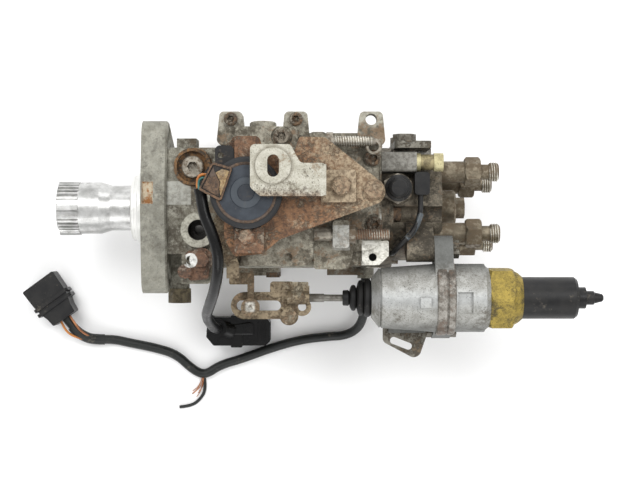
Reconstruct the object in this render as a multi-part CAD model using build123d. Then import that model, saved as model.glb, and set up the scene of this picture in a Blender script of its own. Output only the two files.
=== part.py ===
from build123d import *
import math
import os

os.makedirs("parts", exist_ok=True)

# A distributor-type diesel injection pump, lying on its timing device with the governor
# cover up. Millimetres. X runs along the drive shaft from the drive end to the outlets,
# Z points up through the governor cover, and the origin is on the shaft axis at the
# mounting face of the flange.

# Clearances
running_gap = 0.05
seat_gap = 0.05
free_gap = 0.4

# Housing and flange
flange_thickness = 16.5
flange_hub_radius = 43.0
slot_circle_radius = 50.0
flange_lug_radius = 12.0
slot_width = 8.6
slot_half_angle = 7.0
lug_angles = (30.0, 150.0, 270.0)
stud_pocket = 9.0
pilot_radius = 25.0
pilot_length = 5.0
nose_radius = 21.5
nose_length = 9.2
barrel_radius = 39.5
housing_end = 152.0
side_half_width = 38.0
front_deck_z = 35.0
cover_joint_z = 40.0
feed_bore_radius = 32.0
feed_bore_start = 24.0
cam_bore_radius = 24.5
cam_bore_start = 43.0
spigot_radius = 30.0
spigot_start = 134.0
chamber_start = 53.0
chamber_end = 130.0
chamber_half_width = 28.0

# Drive shaft
spline_tip_x = -58.0
spline_end_x = -43.5
spline_teeth = 36
spline_outer_radius = 17.9
spline_root_radius = 16.7
collar_radius = 17.0
collar_end_x = -30.4
neck_start_x = -23.4
neck_radius = 14.8
neck_end_x = -10.2
journal_radius = 12.5
journal_end_x = 23.6
core_radius = 10.0
core_end_x = 68.5
claw_inner_radius = 5.5
claw_outer_radius = 11.5
claw_length = 8.0
claw_half_angle = 38.0
seal_radius = 18.0
seal_start_x = -8.0
seal_end_x = -1.0
bush_radius = 15.5
bush_start_x = 0.0

# Feed pump
feed_length = 16.0
feed_plate_thickness = 3.0
feed_ring_bore = 23.4
feed_ring_offset = 2.5
rotor_radius = 20.0
vane_reach = 20.6
vane_thickness = 3.0
vane_count = 4

# Governor drive
gear_module = 1.5
drive_teeth = 30
governor_teeth = 20
gear_start_x = 57.0
gear_width = 7.0
governor_shaft_radius = 4.0
governor_shaft_start_x = 45.0
governor_shaft_end_x = 99.0
cage_radius = 13.0
cage_wall = 1.6
cage_end_x = 86.0
weight_inner_radius = 7.0
weight_count = 4
sleeve_radius = 6.0
sleeve_start_x = 82.0
sleeve_tip_x = 108.4

# Governor lever and control sleeve
lever_pivot_x = 112.0
lever_pivot_z = 20.0
lever_thickness = 3.0
lever_half_width = 10.0
lever_top_z = 43.0
lever_pin_radius = 2.5
lever_ball_radius = 2.2
control_sleeve_radius = 11.5
control_sleeve_length = 12.0

# Roller ring, cam plate and plunger
roller_ring_start_x = 64.0
roller_ring_end_x = 71.0
roller_ring_radius = 24.1
roller_ring_bore = 12.2
roller_radius = 5.0
roller_length = 8.0
roller_centre_radius = 17.0
roller_axis_x = 70.0
cam_lift = 2.2
cam_plate_thickness = 8.0
cam_plate_radius = 21.5
plunger_radius = 6.0
plunger_end_x = 178.0
spring_seat_thickness = 2.0
spring_offset = 18.0
spring_outer_radius = 4.8
spring_wire = 1.6
spring_coils = 9

# Timing device
timer_x = 68.0
timer_z = -44.0
timer_piston_radius = 13.0
timer_piston_half_length = 20.0
timer_front_y = 44.0
timer_back_y = -38.0
timer_cover_thickness = 5.0
timer_cover_size = 36.0
timer_pin_radius = 3.5
timer_half_swing = 6.2
timer_socket_radius = 6.0


def block(x0, x1, y0, y1, z0, z1):
    """A box between two corners."""
    centre = Pos((x0 + x1) / 2, (y0 + y1) / 2, (z0 + z1) / 2)
    return centre * Box(x1 - x0, y1 - y0, z1 - z0)


def rod_x(x0, x1, radius, y=0.0, z=0.0):
    """A round bar along X."""
    return Pos((x0 + x1) / 2, y, z) * Rot(0, 90, 0) * Cylinder(radius, x1 - x0)


def rod_y(y0, y1, radius, x=0.0, z=0.0):
    """A round bar along Y."""
    return Pos(x, (y0 + y1) / 2, z) * Rot(90, 0, 0) * Cylinder(radius, y1 - y0)


def rod_z(z0, z1, radius, x=0.0, y=0.0):
    """A round bar along Z."""
    return Pos(x, y, (z0 + z1) / 2) * Cylinder(radius, z1 - z0)


def turned_x(profile, y=0.0, z=0.0):
    """A turned piece about an axis along X, from (x, radius) points."""
    outline = Polyline((profile[0][0], 0), *profile, (profile[-1][0], 0), close=True)
    return Pos(0, y, z) * revolve(make_face(outline), Axis.X)


def turned_z(profile, x=0.0, y=0.0):
    """A turned piece about an axis along Z, from (z, radius) points."""
    points = [(radius, z) for z, radius in profile]
    outline = Polyline((0, profile[0][0]), *points, (0, profile[-1][0]), close=True)
    return Pos(x, y, 0) * revolve(Plane.XZ * make_face(outline), Axis.Z)


def hexagon_x(x0, x1, across_flats, y=0.0, z=0.0, turn=0.0):
    """A hexagon bar along X."""
    face = Plane.YZ.offset(x0) * Pos(y, z) * Rot(0, 0, turn) * RegularPolygon(
        across_flats / 2, 6, major_radius=False
    )
    return extrude(face, x1 - x0)


def hexagon_y(y0, y1, across_flats, x=0.0, z=0.0):
    """A hexagon bar along Y."""
    bar = extrude(RegularPolygon(across_flats / 2, 6, major_radius=False), y1 - y0)
    return Pos(x, y0, z) * Rot(-90, 0, 0) * bar


def hexagon_z(z0, z1, across_flats, x=0.0, y=0.0, turn=0.0):
    """A hexagon bar along Z."""
    face = Pos(x, y, z0) * Rot(0, 0, turn) * RegularPolygon(across_flats / 2, 6, major_radius=False)
    return extrude(face, z1 - z0)


def plate_z(points, z0, z1, corner=0.0):
    """A flat plate from its outline seen from above, with rounded corners."""
    face = make_face(Polyline(*points, close=True))
    if corner > 0:
        face = fillet(face.vertices(), corner)
    return extrude(Pos(0, 0, z0) * face, z1 - z0)


def plate_x(points, x0, x1, corner=0.0):
    """A flat plate from its (y, z) outline seen along X."""
    face = make_face(Polyline(*points, close=True))
    if corner > 0:
        face = fillet(face.vertices(), corner)
    return extrude(Plane.YZ.offset(x0) * face, x1 - x0)


def polar(radius, degrees):
    """A (y, z) point on a circle about the shaft axis."""
    angle = math.radians(degrees)
    return radius * math.cos(angle), radius * math.sin(angle)


def toothed_bar(x0, x1, teeth, root_radius, tip_radius, root_share, tip_share, first_tooth=0.0):
    """A bar along X with straight-sided teeth all round."""
    points = []
    step = 360.0 / teeth
    for index in range(teeth):
        middle = first_tooth + index * step
        points.append(polar(root_radius, middle - step * root_share / 2))
        points.append(polar(tip_radius, middle - step * tip_share / 2))
        points.append(polar(tip_radius, middle + step * tip_share / 2))
        points.append(polar(root_radius, middle + step * root_share / 2))
    return plate_x(points, x0, x1)


def sector_x(x0, x1, inner_radius, outer_radius, middle, half_angle, y=0.0, z=0.0):
    """A piece of a ring along X between two angles."""
    start, end = middle - half_angle, middle + half_angle
    outer = [polar(outer_radius, angle) for angle in (start, middle, end)]
    inner = [polar(inner_radius, angle) for angle in (end, middle, start)]
    edges = [
        ThreePointArc(*outer),
        Line(outer[2], inner[0]),
        ThreePointArc(*inner),
        Line(inner[2], outer[0]),
    ]
    return Pos(0, y, z) * extrude(Plane.YZ.offset(x0) * make_face(edges), x1 - x0)


def joined(solids):
    """One solid from pieces that overlap."""
    result = solids[0]
    for solid in solids[1:]:
        result = result + solid
    return result


def save(name, *solids):
    """Writes one node, as one solid or a group of separate solids."""
    shape = solids[0] if len(solids) == 1 else Compound(children=list(solids))
    export_step(shape, f"parts/{name}.step")


# Drive shaft: a splined nose, a collar and neck outside, and inside the journal, the
# core that carries feed pump and gear, and two claws that turn the cam plate.
master_tooth_width = 3.2
key_width = 4.0
key_height = 2.2
shaft_body = turned_x([
    (spline_tip_x, spline_root_radius - 1.0),
    (spline_tip_x + 1.0, spline_root_radius),
    (spline_end_x, spline_root_radius),
    (spline_end_x, collar_radius),
    (collar_end_x, collar_radius),
    (neck_start_x, neck_radius),
    (neck_end_x, neck_radius),
    (neck_end_x, journal_radius),
    (journal_end_x, journal_radius),
    (journal_end_x, core_radius),
    (core_end_x, core_radius),
])
spline_ring = toothed_bar(
    spline_tip_x + 0.6, spline_end_x - 0.4, spline_teeth,
    spline_root_radius - 0.2, spline_outer_radius, 0.62, 0.34, 90.0,
)
master_tooth = block(
    spline_tip_x + 0.6, spline_end_x - 0.4, -master_tooth_width / 2, master_tooth_width / 2,
    spline_root_radius - 1.0, spline_outer_radius,
)
end_bore = turned_x(
    [
        (spline_tip_x - 1, 8.0), (spline_tip_x + 3.0, 8.0), (spline_tip_x + 6.0, 4.0),
        (spline_tip_x + 12.0, 4.0)
    ]
)
feed_key = block(
    feed_bore_start + 3, feed_bore_start + feed_length - 3, -key_width / 2, key_width / 2,
    core_radius - 1.0, core_radius + key_height,
)
shaft_claws = [
    sector_x(
        core_end_x - 0.5, core_end_x + claw_length, claw_inner_radius, claw_outer_radius, angle,
        claw_half_angle
    )
    for angle in (90, 270)
]
drive_shaft = joined([shaft_body, spline_ring, master_tooth, feed_key] + shaft_claws) - end_bore
claw_flange = rod_x(core_end_x - 4, core_end_x, claw_outer_radius)
drive_shaft = drive_shaft + claw_flange
save("drive_shaft", drive_shaft)

# Shaft seal in the nose and the bush in the housing
seal_ring = rod_x(seal_start_x, seal_end_x, seal_radius) - rod_x(
    seal_start_x - 1, seal_end_x + 1, journal_radius + running_gap
)
seal_groove = rod_x(seal_start_x - 1, seal_start_x + 3, seal_radius - 1.5) - rod_x(
    seal_start_x - 1, seal_start_x + 3, journal_radius + 1.2
)
save("shaft_seal", seal_ring - seal_groove)
shaft_bush = rod_x(bush_start_x, journal_end_x - 0.6, bush_radius)
shaft_bush -= rod_x(bush_start_x - 1, journal_end_x + 1, journal_radius + running_gap)
save("shaft_bush", shaft_bush)

# Feed pump: an eccentric ring with its cover plate, and the rotor with four vanes
feed_end = feed_bore_start + feed_length
feed_ring = rod_x(feed_bore_start, feed_end, feed_bore_radius - seat_gap)
feed_ring -= rod_x(feed_bore_start - 1, feed_end + 1, feed_ring_bore, y=feed_ring_offset)
feed_plate = rod_x(feed_end, feed_end + feed_plate_thickness, feed_bore_radius - seat_gap)
feed_plate -= rod_x(feed_end - 1, feed_end + feed_plate_thickness + 1, core_radius + free_gap)
save("feed_pump_ring", feed_ring, feed_plate)

rotor_start = feed_bore_start + free_gap
rotor_end = feed_end - free_gap
rotor = rod_x(rotor_start, rotor_end, rotor_radius) - rod_x(
    rotor_start - 1, rotor_end + 1, core_radius + running_gap
)
rotor -= block(
    rotor_start - 1, rotor_end + 1, -key_width / 2 - seat_gap, key_width / 2 + seat_gap,
    core_radius - 1, core_radius + key_height + 0.2,
)
vanes = []
vane_root = 14.0
for index in range(vane_count):
    turn = Rot(360.0 / vane_count * index + 45, 0, 0)
    rotor -= turn * block(
        rotor_start - 1, rotor_end + 1, vane_root - 0.4, rotor_radius + 2,
        -vane_thickness / 2 - running_gap, vane_thickness / 2 + running_gap,
    )
    vanes.append(turn * block(
        rotor_start, rotor_end, vane_root, vane_reach, -vane_thickness / 2, vane_thickness / 2,
    ))
save("feed_pump_rotor", rotor, *vanes)

# Drive gear on the shaft and the governor gear above it, in mesh
drive_pitch_radius = gear_module * drive_teeth / 2
governor_pitch_radius = gear_module * governor_teeth / 2
governor_z = drive_pitch_radius + governor_pitch_radius
tooth_rise = 0.85 * gear_module
tooth_root = 1.15 * gear_module
gear_end_x = gear_start_x + gear_width
drive_gear = toothed_bar(
    gear_start_x, gear_end_x, drive_teeth,
    drive_pitch_radius - tooth_root, drive_pitch_radius + tooth_rise, 0.57, 0.23, 90.0,
)
drive_gear -= rod_x(gear_start_x - 1, gear_end_x + 1, core_radius + running_gap)
for index in range(6):
    hole_y, hole_z = polar(15.5, 60 * index)
    drive_gear -= rod_x(gear_start_x - 1, gear_end_x + 1, 2.2, hole_y, hole_z)
save("drive_gear", drive_gear)

# Flyweight cage with the governor gear, and its four weights
half_step = 180.0 / governor_teeth
cage = Pos(0, 0, governor_z) * toothed_bar(
    gear_start_x, gear_end_x, governor_teeth,
    governor_pitch_radius - tooth_root, governor_pitch_radius + tooth_rise, 0.57, 0.23, 270.0 + half_step,
)
cage += rod_x(gear_end_x - 0.1, gear_end_x + 2.5, cage_radius, z=governor_z)
cage_wall_ring = rod_x(gear_end_x + 2, cage_end_x, cage_radius, z=governor_z)
cage_wall_ring -= rod_x(gear_end_x + 1, cage_end_x + 1, cage_radius - cage_wall, z=governor_z)
cage += cage_wall_ring
window_half = 6.5
for index in range(weight_count):
    turn = Pos(0, 0, governor_z) * Rot(90.0 * index, 0, 0)
    cage -= turn * block(gear_end_x + 6, cage_end_x - 3, 10, cage_radius + 2, -window_half, window_half)
cage -= rod_x(gear_start_x - 1, gear_end_x + 3, governor_shaft_radius + running_gap, z=governor_z)
weights = []
for index in range(weight_count):
    weight = sector_x(
        gear_end_x + 3.2, cage_end_x - 3.6, weight_inner_radius, cage_radius - cage_wall - 0.15,
        90.0 * index, 34.0, z=governor_z,
    )
    weights.append(weight)
save("governor_cage", cage, *weights)


# Governor shaft fixed in the housing, and the sleeve that the weights push along it
governor_shaft = rod_x(governor_shaft_start_x, governor_shaft_end_x, governor_shaft_radius, z=governor_z)
save("governor_shaft", governor_shaft)
sleeve = turned_x([
    (sleeve_start_x, sleeve_radius),
    (sleeve_tip_x - 6, sleeve_radius),
    (sleeve_tip_x - 2, 4.0),
    (sleeve_tip_x, 1.6),
], z=governor_z)
sleeve -= rod_x(
    sleeve_start_x - 1, governor_shaft_end_x + free_gap, governor_shaft_radius + running_gap,
    z=governor_z
)
save("governor_sleeve", sleeve)

# Governor lever: a plate on a cross pin, pushed at the top by the sleeve, with a ball
# pin at the bottom that shifts the control sleeve
lever_face_x = sleeve_tip_x + free_gap
lever_bottom_z = control_sleeve_radius + 1.6
lever_plate = plate_x([
    (-lever_half_width, lever_bottom_z),
    (lever_half_width, lever_bottom_z),
    (lever_half_width, lever_pivot_z + 6),
    (5.5, lever_top_z),
    (-5.5, lever_top_z),
    (-lever_half_width, lever_pivot_z + 6),
], lever_face_x, lever_face_x + lever_thickness, 2.0)
lever_cheek = block(
    lever_face_x, lever_pivot_x + 4, -lever_half_width, lever_half_width, lever_pivot_z - 4,
    lever_pivot_z + 4
)
lever_pin = rod_y(
    -chamber_half_width - 4, chamber_half_width + 4, lever_pin_radius, lever_pivot_x, lever_pivot_z
)
ball_x = lever_pivot_x
ball_arm = block(lever_face_x, ball_x + 1.5, -1.5, 1.5, lever_bottom_z, lever_bottom_z + 3)
ball_stem = rod_z(control_sleeve_radius - 3.4, lever_bottom_z + 1, lever_ball_radius, ball_x, 0)
governor_lever = joined([lever_plate, lever_cheek, ball_arm, ball_stem])
governor_lever -= rod_y(
    -lever_half_width - 1, lever_half_width + 1, lever_pin_radius, lever_pivot_x, lever_pivot_z
)
save("governor_lever", governor_lever, lever_pin)

control_start = ball_x - control_sleeve_length / 2
control_sleeve = rod_x(control_start, control_start + control_sleeve_length, control_sleeve_radius)
control_sleeve -= rod_x(
    control_start - 1, control_start + control_sleeve_length + 1, plunger_radius + running_gap
)
control_sleeve -= rod_z(
    control_sleeve_radius - 4, control_sleeve_radius + 1, lever_ball_radius + 0.6, ball_x, 0
)
save("control_sleeve", control_sleeve)

# Roller ring with four rollers and the pin that the timing piston moves
ring = rod_x(roller_ring_start_x, roller_ring_end_x, roller_ring_radius)
ring -= rod_x(roller_ring_start_x - 1, roller_ring_end_x + 1, roller_ring_bore)
rollers = []
roller_inner = roller_centre_radius - roller_length / 2
for index in range(4):
    turn = Rot(90.0 * index + 45, 0, 0)
    ring -= turn * rod_y(
        roller_inner - 0.3, roller_centre_radius + roller_length / 2 + 0.3, roller_radius + 0.3,
        roller_axis_x, 0
    )
    rollers.append(
        turn * rod_y(
            roller_inner, roller_centre_radius + roller_length / 2, roller_radius, roller_axis_x, 0
        )
    )
timer_pin = rod_z(timer_z - 2, -roller_ring_radius + 3, timer_pin_radius, timer_x, 0)
ring_rest = Rot(-timer_half_swing, 0, 0)
save("roller_ring", ring_rest * (ring + timer_pin), *[ring_rest * roller for roller in rollers])

# Cam plate with four lobes, driven by claws between those of the shaft
cam_peak_x = roller_axis_x + roller_radius + free_gap
cam_face_x = cam_peak_x + cam_lift
cam_back_x = cam_face_x + cam_plate_thickness
cam_plate = rod_x(cam_face_x, cam_back_x, cam_plate_radius)
lobe_radius = 9.0
lobes = []
lobe_band = rod_x(
    cam_peak_x - 1, cam_face_x + 1, cam_plate_radius
) - rod_x(cam_peak_x - 2, cam_face_x + 2, roller_ring_bore)
for index in range(4):
    lobe_bar = Rot(90.0 * index, 0, 0) * rod_y(
        10, cam_plate_radius + 2, lobe_radius, cam_peak_x + lobe_radius, 0
    )
    lobes.append(lobe_bar & lobe_band)
cam_claws = [
    sector_x(
        core_end_x + 1.0, cam_face_x + 0.5, claw_inner_radius, claw_outer_radius, angle,
        claw_half_angle
    )
    for angle in (0, 180)
]
cam_plate = joined([cam_plate] + lobes + cam_claws)
plunger_foot_radius = 9.0
plunger_foot = 3.0
cam_plate -= rod_x(cam_back_x - plunger_foot, cam_back_x + 1, plunger_foot_radius + seat_gap)
save("cam_plate", cam_plate)
plunger = turned_x([
    (cam_back_x - plunger_foot, plunger_foot_radius),
    (cam_back_x, plunger_foot_radius),
    (cam_back_x, plunger_radius),
    (plunger_end_x, plunger_radius),
])
plunger -= rod_x(control_start - 10, plunger_end_x + 1, 1.5)
save("plunger", plunger)

# Spring seat on the cam plate and the two plunger springs that stand against the head
seat_start_x = cam_back_x + free_gap
seat_end_x = seat_start_x + spring_seat_thickness
spring_seat = Pos(seat_start_x, 0, 0) * Rot(0, 90, 0) * extrude(
    SlotOverall(
        2 * (spring_offset + spring_outer_radius), 2 * spring_outer_radius + 2, rotation=90
    ), spring_seat_thickness
)
spring_seat -= rod_x(seat_start_x - 1, seat_end_x + 1, plunger_radius + free_gap)


def spring_x(x0, x1, outer_radius, wire, coils, y, z):
    """A coil spring drawn as a corrugated sleeve along X."""
    pitch = (x1 - x0) / coils
    profile = []
    for index in range(coils):
        profile.append((x0 + pitch * index, outer_radius - wire * 0.5))
        profile.append((x0 + pitch * (index + 0.5), outer_radius))
    profile.append((x1, outer_radius - wire * 0.5))
    sleeve_solid = turned_x(profile, y, z)
    return sleeve_solid - rod_x(x0 - 1, x1 + 1, outer_radius - wire, y, z)


plunger_springs = [
    spring_x(
        seat_end_x, spigot_start, spring_outer_radius, spring_wire, spring_coils,
        side * spring_offset, 0
    )
    for side in (-1, 1)
]
save("plunger_springs", spring_seat, *plunger_springs)

# Timing piston, across the pump under the roller ring
piston = rod_y(-timer_piston_half_length, timer_piston_half_length, timer_piston_radius, timer_x, timer_z)
piston -= rod_z(timer_z - 4, timer_z + timer_piston_radius + 1, timer_socket_radius, timer_x, 0)
piston -= rod_y(
    timer_piston_half_length - 8, timer_piston_half_length + 1, timer_piston_radius - 3, timer_x,
    timer_z
)
piston_rest_y = timer_z * math.sin(math.radians(timer_half_swing))
save("timer_piston", Pos(0, piston_rest_y, 0) * piston)

# Openings and fittings on the housing
inlet_x, inlet_y = 36.3, -14.7
inlet_boss_radius = 11.3
inlet_hole_radius = 6.3
inlet_depth = 7.5
inlet_drilling_radius = 3.0
deck_boss_top_z = 39.0
deck_pad_z = 38.2
notch_floor_z = 40.4
side_plug_x, side_plug_y, side_plug_z = 21.0, -53.0, 0.0
side_plug_radius = 5.0
side_plug_depth = 9.0
regulator_x, regulator_y = 32.7, 25.4
regulator_boss_radius = 11.8
regulator_well_radius = 9.9
regulator_well_z = 35.0
regulator_plug_radius = 7.0
regulator_bore_radius = 6.0
regulator_bore_z = 26.5
regulator_piston_length = 3.6
regulator_travel = 1.2
regulator_socket = 6.0
side_bracket_thickness = 3.0
side_bolt_x, side_bolt_y = 38.4, -33.5
side_pin_x, side_pin_y = 31.6, -34.0
m6_radius = 3.0
m8_radius = 4.0

# Governor cover
cover_start_x = 53.5
cover_end_x = 152.0
cover_base_thickness = 6.0
cover_wall = 3.0
cover_high_end_x = 109.5
cover_high_top_z = 66.0
cover_low_top_z = 54.0
cover_roof = 5.0
cover_front_y = 46.0
cover_back_y = -37.0
gasket_thickness = 0.8
ear_x_positions = (58.4, 98.6, 145.2)
ear_y = 53.6
ear_half_width = 7.0
ear_top_z = 60.0
ear_bottom_z = 46.0
ear_hole_radius = 3.5
cover_screw_places = (
    (58.5, -32.0), (107.3, 31.4), (147.5, -11.6), (89.9, 42.6), (146.5, 30.0), (60.0, 34.5)
)
throttle_x, throttle_y = 69.6, 7.0
throttle_radius = 5.0
throttle_boss_radius = 10.0
throttle_boss_top_z = 69.0
sensor_plate_z = 83.5
sensor_plate_thickness = 3.0
sensor_screw_y = (31.6, -19.2)
sensor_screw_x = 69.8
post_radius = 5.2
main_post_places = ((126.2, 11.3), (146.0, 9.2))
main_post_radius = 6.5
stop_screw_radius = 3.2
stop_screw_y, stop_screw_z = -17.5, 62.0
stop_block_start_x, stop_block_end_x = 121.4, 131.4
idle_screw_y, idle_screw_z = 39.6, 63.4
idle_lug_start_x, idle_lug_end_x = 107.0, 117.5
cover_hole_x, cover_hole_y = 94.1, -31.6
threaded_m6_radius = 2.5
lug_hole_x, lug_hole_y = 146.5, -31.9

# Distributor head
head_flange_end = 160.0
head_end = 191.5
head_body_radius = 34.5
valve_circle_radius = 28.5
valve_first_angle = 36.6
holder_radius = 7.0
holder_start_x = 186.0
holder_hex_start_x = 206.9
holder_hex_end_x = 217.1
holder_hex = 17.0
holder_neck_radius = 5.0
holder_thread_start_x = 222.4
holder_tip_x = 229.0
outlet_radius = 6.0
valve_radius = 3.5
valve_length = 9.0
valve_travel = 2.5
head_screw_circle = 33.0
head_screw_first_angle = 8.0
m5_radius = 2.5
m5_head_radius = 4.25
solenoid_x, solenoid_y = 162.5, 11.3
solenoid_seat_z = 38.0
solenoid_boss_radius = 10.0
return_y, return_z = 28.3, 35.0
return_block_end_x = 174.7
foot_y, foot_z = -27.0, 42.0
foot_radius = 8.0
foot_start_x, foot_end_x = 168.0, 185.2
rear_bolt_x = 168.0
rear_bolt_heights = (19.5, -14.0)
rear_plate_y = 37.2
rear_plate_thickness = 4.5
rest_z = -62.0


def circle_hull(places_and_radii):
    """The closed outline that wraps round several circles."""
    edges = []
    for place, radius in places_and_radii:
        edges += (Pos(*place) * Circle(radius)).edges()
    return make_hull(edges)


# Pump housing: flange with three arc slots, pilot and nose, barrel, decks and timing
# device bore, one aluminium casting
lug_places = [(polar(slot_circle_radius, angle), flange_lug_radius) for angle in lug_angles]
flange_outline = circle_hull([((0, 0), flange_hub_radius)] + lug_places)
flange = extrude(Plane.YZ * flange_outline, flange_thickness)
stud_slots = []
for angle in lug_angles:
    slot_path = CenterArc((0, 0), slot_circle_radius, angle - slot_half_angle, 2 * slot_half_angle)
    stud_slots.append(extrude(Plane.YZ.offset(-1) * SlotArc(slot_path, slot_width), flange_thickness + 2))
    flange -= stud_slots[-1]
flange = chamfer(flange.edges().filter_by(Plane.YZ).group_by(Axis.X)[-1], 1.2)

timer_half = timer_cover_size / 2
housing = joined([
    flange,
    turned_x([
        (-nose_length, nose_radius - 0.8),
        (-nose_length + 0.8, nose_radius),
        (-pilot_length, nose_radius),
        (-pilot_length, pilot_radius - 0.8),
        (-pilot_length + 0.8, pilot_radius),
        (1.0, pilot_radius),
    ]),
    rod_x(flange_thickness - 1, housing_end, barrel_radius),
    plate_x([(-36, -4), (38, -4), (38, front_deck_z), (-36, front_deck_z)], flange_thickness - 1, 54, 5.0),
    plate_x([
        (-side_half_width, -4), (side_half_width, -4), (side_half_width, cover_joint_z),
        (-side_half_width, cover_joint_z),
    ], chamber_start - 3, housing_end, 2.0),
    plate_z(
        [
            (cover_start_x, 30), (cover_end_x, 30), (cover_end_x, cover_front_y),
            (cover_start_x, cover_front_y)
        ],
        30, cover_joint_z, 5.0
    ),
    plate_z(
        [(flange_thickness - 1, -30), (46, -30), (44, -49), (flange_thickness - 1, -49)], -16,
        front_deck_z, 3.0
    ),
    block(22, 34.4, 34, 43.8, 8, 30),
    plate_z(
        [(flange_thickness - 1, 1.5), (31.5, 1.5), (31.5, 16.0), (flange_thickness - 1, 16.0)],
        front_deck_z - 1, deck_pad_z, 1.5
    ),
    rod_y(side_plug_y, -45, side_plug_radius + 1.5, side_plug_x, side_plug_z),
    rod_x(44, chamber_start, 9.0, z=governor_z),
    rod_z(24, deck_boss_top_z, inlet_boss_radius, inlet_x, inlet_y),
    rod_z(24, deck_boss_top_z, regulator_boss_radius, regulator_x, regulator_y),
    plate_x([
        (timer_back_y, rest_z), (timer_front_y, rest_z), (timer_front_y, rest_z + timer_cover_size),
        (timer_back_y, rest_z + timer_cover_size),
    ], timer_x - timer_half, timer_x + timer_half, 3.0),
    block(118, 143, -43.5, -30, 22, 31),
    plate_x([(-4, -44.5), (4, -44.5), (4, -30), (-4, -30)], flange_thickness - 1, timer_x - timer_half + 1),
    plate_x([(-4, -46), (4, -46), (4, -30), (-4, -30)], timer_x + timer_half - 1, housing_end),
])
housing -= block(cover_start_x - 0.1, housing_end + 1, -60, 60, cover_joint_z, cover_joint_z + 20)
housing -= block(flange_thickness, flange_thickness + stud_pocket, -50, -30, 10, front_deck_z + 1)
for stud_slot in stud_slots:
    housing -= stud_slot
housing -= block(1.2, 7.8, 2.0, 15.5, notch_floor_z, flange_hub_radius + 2)
housing -= rod_y(
    side_plug_y - 1, side_plug_y + side_plug_depth + 0.5, side_plug_radius + seat_gap, side_plug_x,
    side_plug_z
)
housing -= rod_x(-nose_length - 1, seal_end_x, seal_radius + seat_gap)
housing -= rod_x(seal_end_x - 1, feed_bore_start + 1, bush_radius + seat_gap)
housing -= rod_x(feed_bore_start, cam_bore_start + 1, feed_bore_radius)
housing -= rod_x(cam_bore_start, spigot_start + 1, cam_bore_radius)
housing -= rod_x(spigot_start, housing_end + 1, spigot_radius + seat_gap)
housing -= block(chamber_start, chamber_end, -chamber_half_width, chamber_half_width, 0, cover_joint_z + 8)
housing -= rod_x(
    governor_shaft_start_x - 0.1, chamber_start + 1, governor_shaft_radius + seat_gap, z=governor_z
)
housing -= rod_y(
    -chamber_half_width - 4.2, chamber_half_width + 4.2, lever_pin_radius + running_gap,
    lever_pivot_x, lever_pivot_z
)
housing -= rod_y(timer_back_y - 1, timer_front_y + 1, timer_piston_radius + running_gap, timer_x, timer_z)
housing -= block(timer_x - 6, timer_x + 6, -11, 11, timer_z + 4, -cam_bore_radius + 3)
housing -= rod_z(deck_boss_top_z - inlet_depth, deck_boss_top_z + 1, inlet_hole_radius, inlet_x, inlet_y)
housing -= rod_z(
    feed_bore_radius - 8, deck_boss_top_z - inlet_depth + 1, inlet_drilling_radius, inlet_x, inlet_y
)
housing -= rod_z(
    regulator_bore_z, deck_boss_top_z + 1, regulator_bore_radius + running_gap, regulator_x,
    regulator_y
)
housing -= rod_z(regulator_well_z, deck_boss_top_z + 1, regulator_well_radius, regulator_x, regulator_y)

timer_screw_places = [
    (
        timer_x + sx * (timer_half - 4.5), timer_z + sz * (timer_half - 4.5)
    ) for sx in (-1, 1) for sz in (-1, 1)
]
timer_screw_radius = 2.5
timer_screw_depth = 9.0
timer_screws = []
for sx, sz in timer_screw_places:
    front = rod_y(
        timer_front_y - timer_screw_depth, timer_front_y + timer_cover_thickness,
        timer_screw_radius, sx, sz
    )
    front_head = hexagon_y(
        timer_front_y + timer_cover_thickness, timer_front_y + timer_cover_thickness + 3.5, 8, sx,
        sz
    )
    back = rod_y(
        timer_back_y - timer_cover_thickness, timer_back_y + timer_screw_depth, timer_screw_radius,
        sx, sz
    )
    back_head = hexagon_y(
        timer_back_y - timer_cover_thickness - 3.5, timer_back_y - timer_cover_thickness, 8, sx, sz
    )
    timer_screws += [front + front_head, back + back_head]
    housing -= rod_y(
        timer_front_y - timer_screw_depth - 0.5, timer_front_y + 1, timer_screw_radius + seat_gap,
        sx, sz
    )
    housing -= rod_y(
        timer_back_y - 1, timer_back_y + timer_screw_depth + 0.5, timer_screw_radius + seat_gap, sx,
        sz
    )
save("timer_screws", *timer_screws)

timer_covers = []
for y0, y1 in (
    (timer_front_y, timer_front_y + timer_cover_thickness),
    (timer_back_y - timer_cover_thickness, timer_back_y)
):
    cover_face = Pos(timer_x, timer_z) * RectangleRounded(timer_cover_size, timer_cover_size, 4.0)
    cover_plate = Pos(0, y1, 0) * extrude(Plane.XZ * cover_face, y1 - y0)
    for sx, sz in timer_screw_places:
        cover_plate -= rod_y(y0 - 1, y1 + 1, timer_screw_radius + seat_gap, sx, sz)
    dome_y0, dome_y1 = (y1 - 0.5, y1 + 2.5) if y0 > 0 else (y0 - 2.5, y0 + 0.5)
    timer_covers.append(cover_plate + rod_y(dome_y0, dome_y1, 9.0, timer_x, timer_z))
save("timer_covers", *timer_covers)

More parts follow.
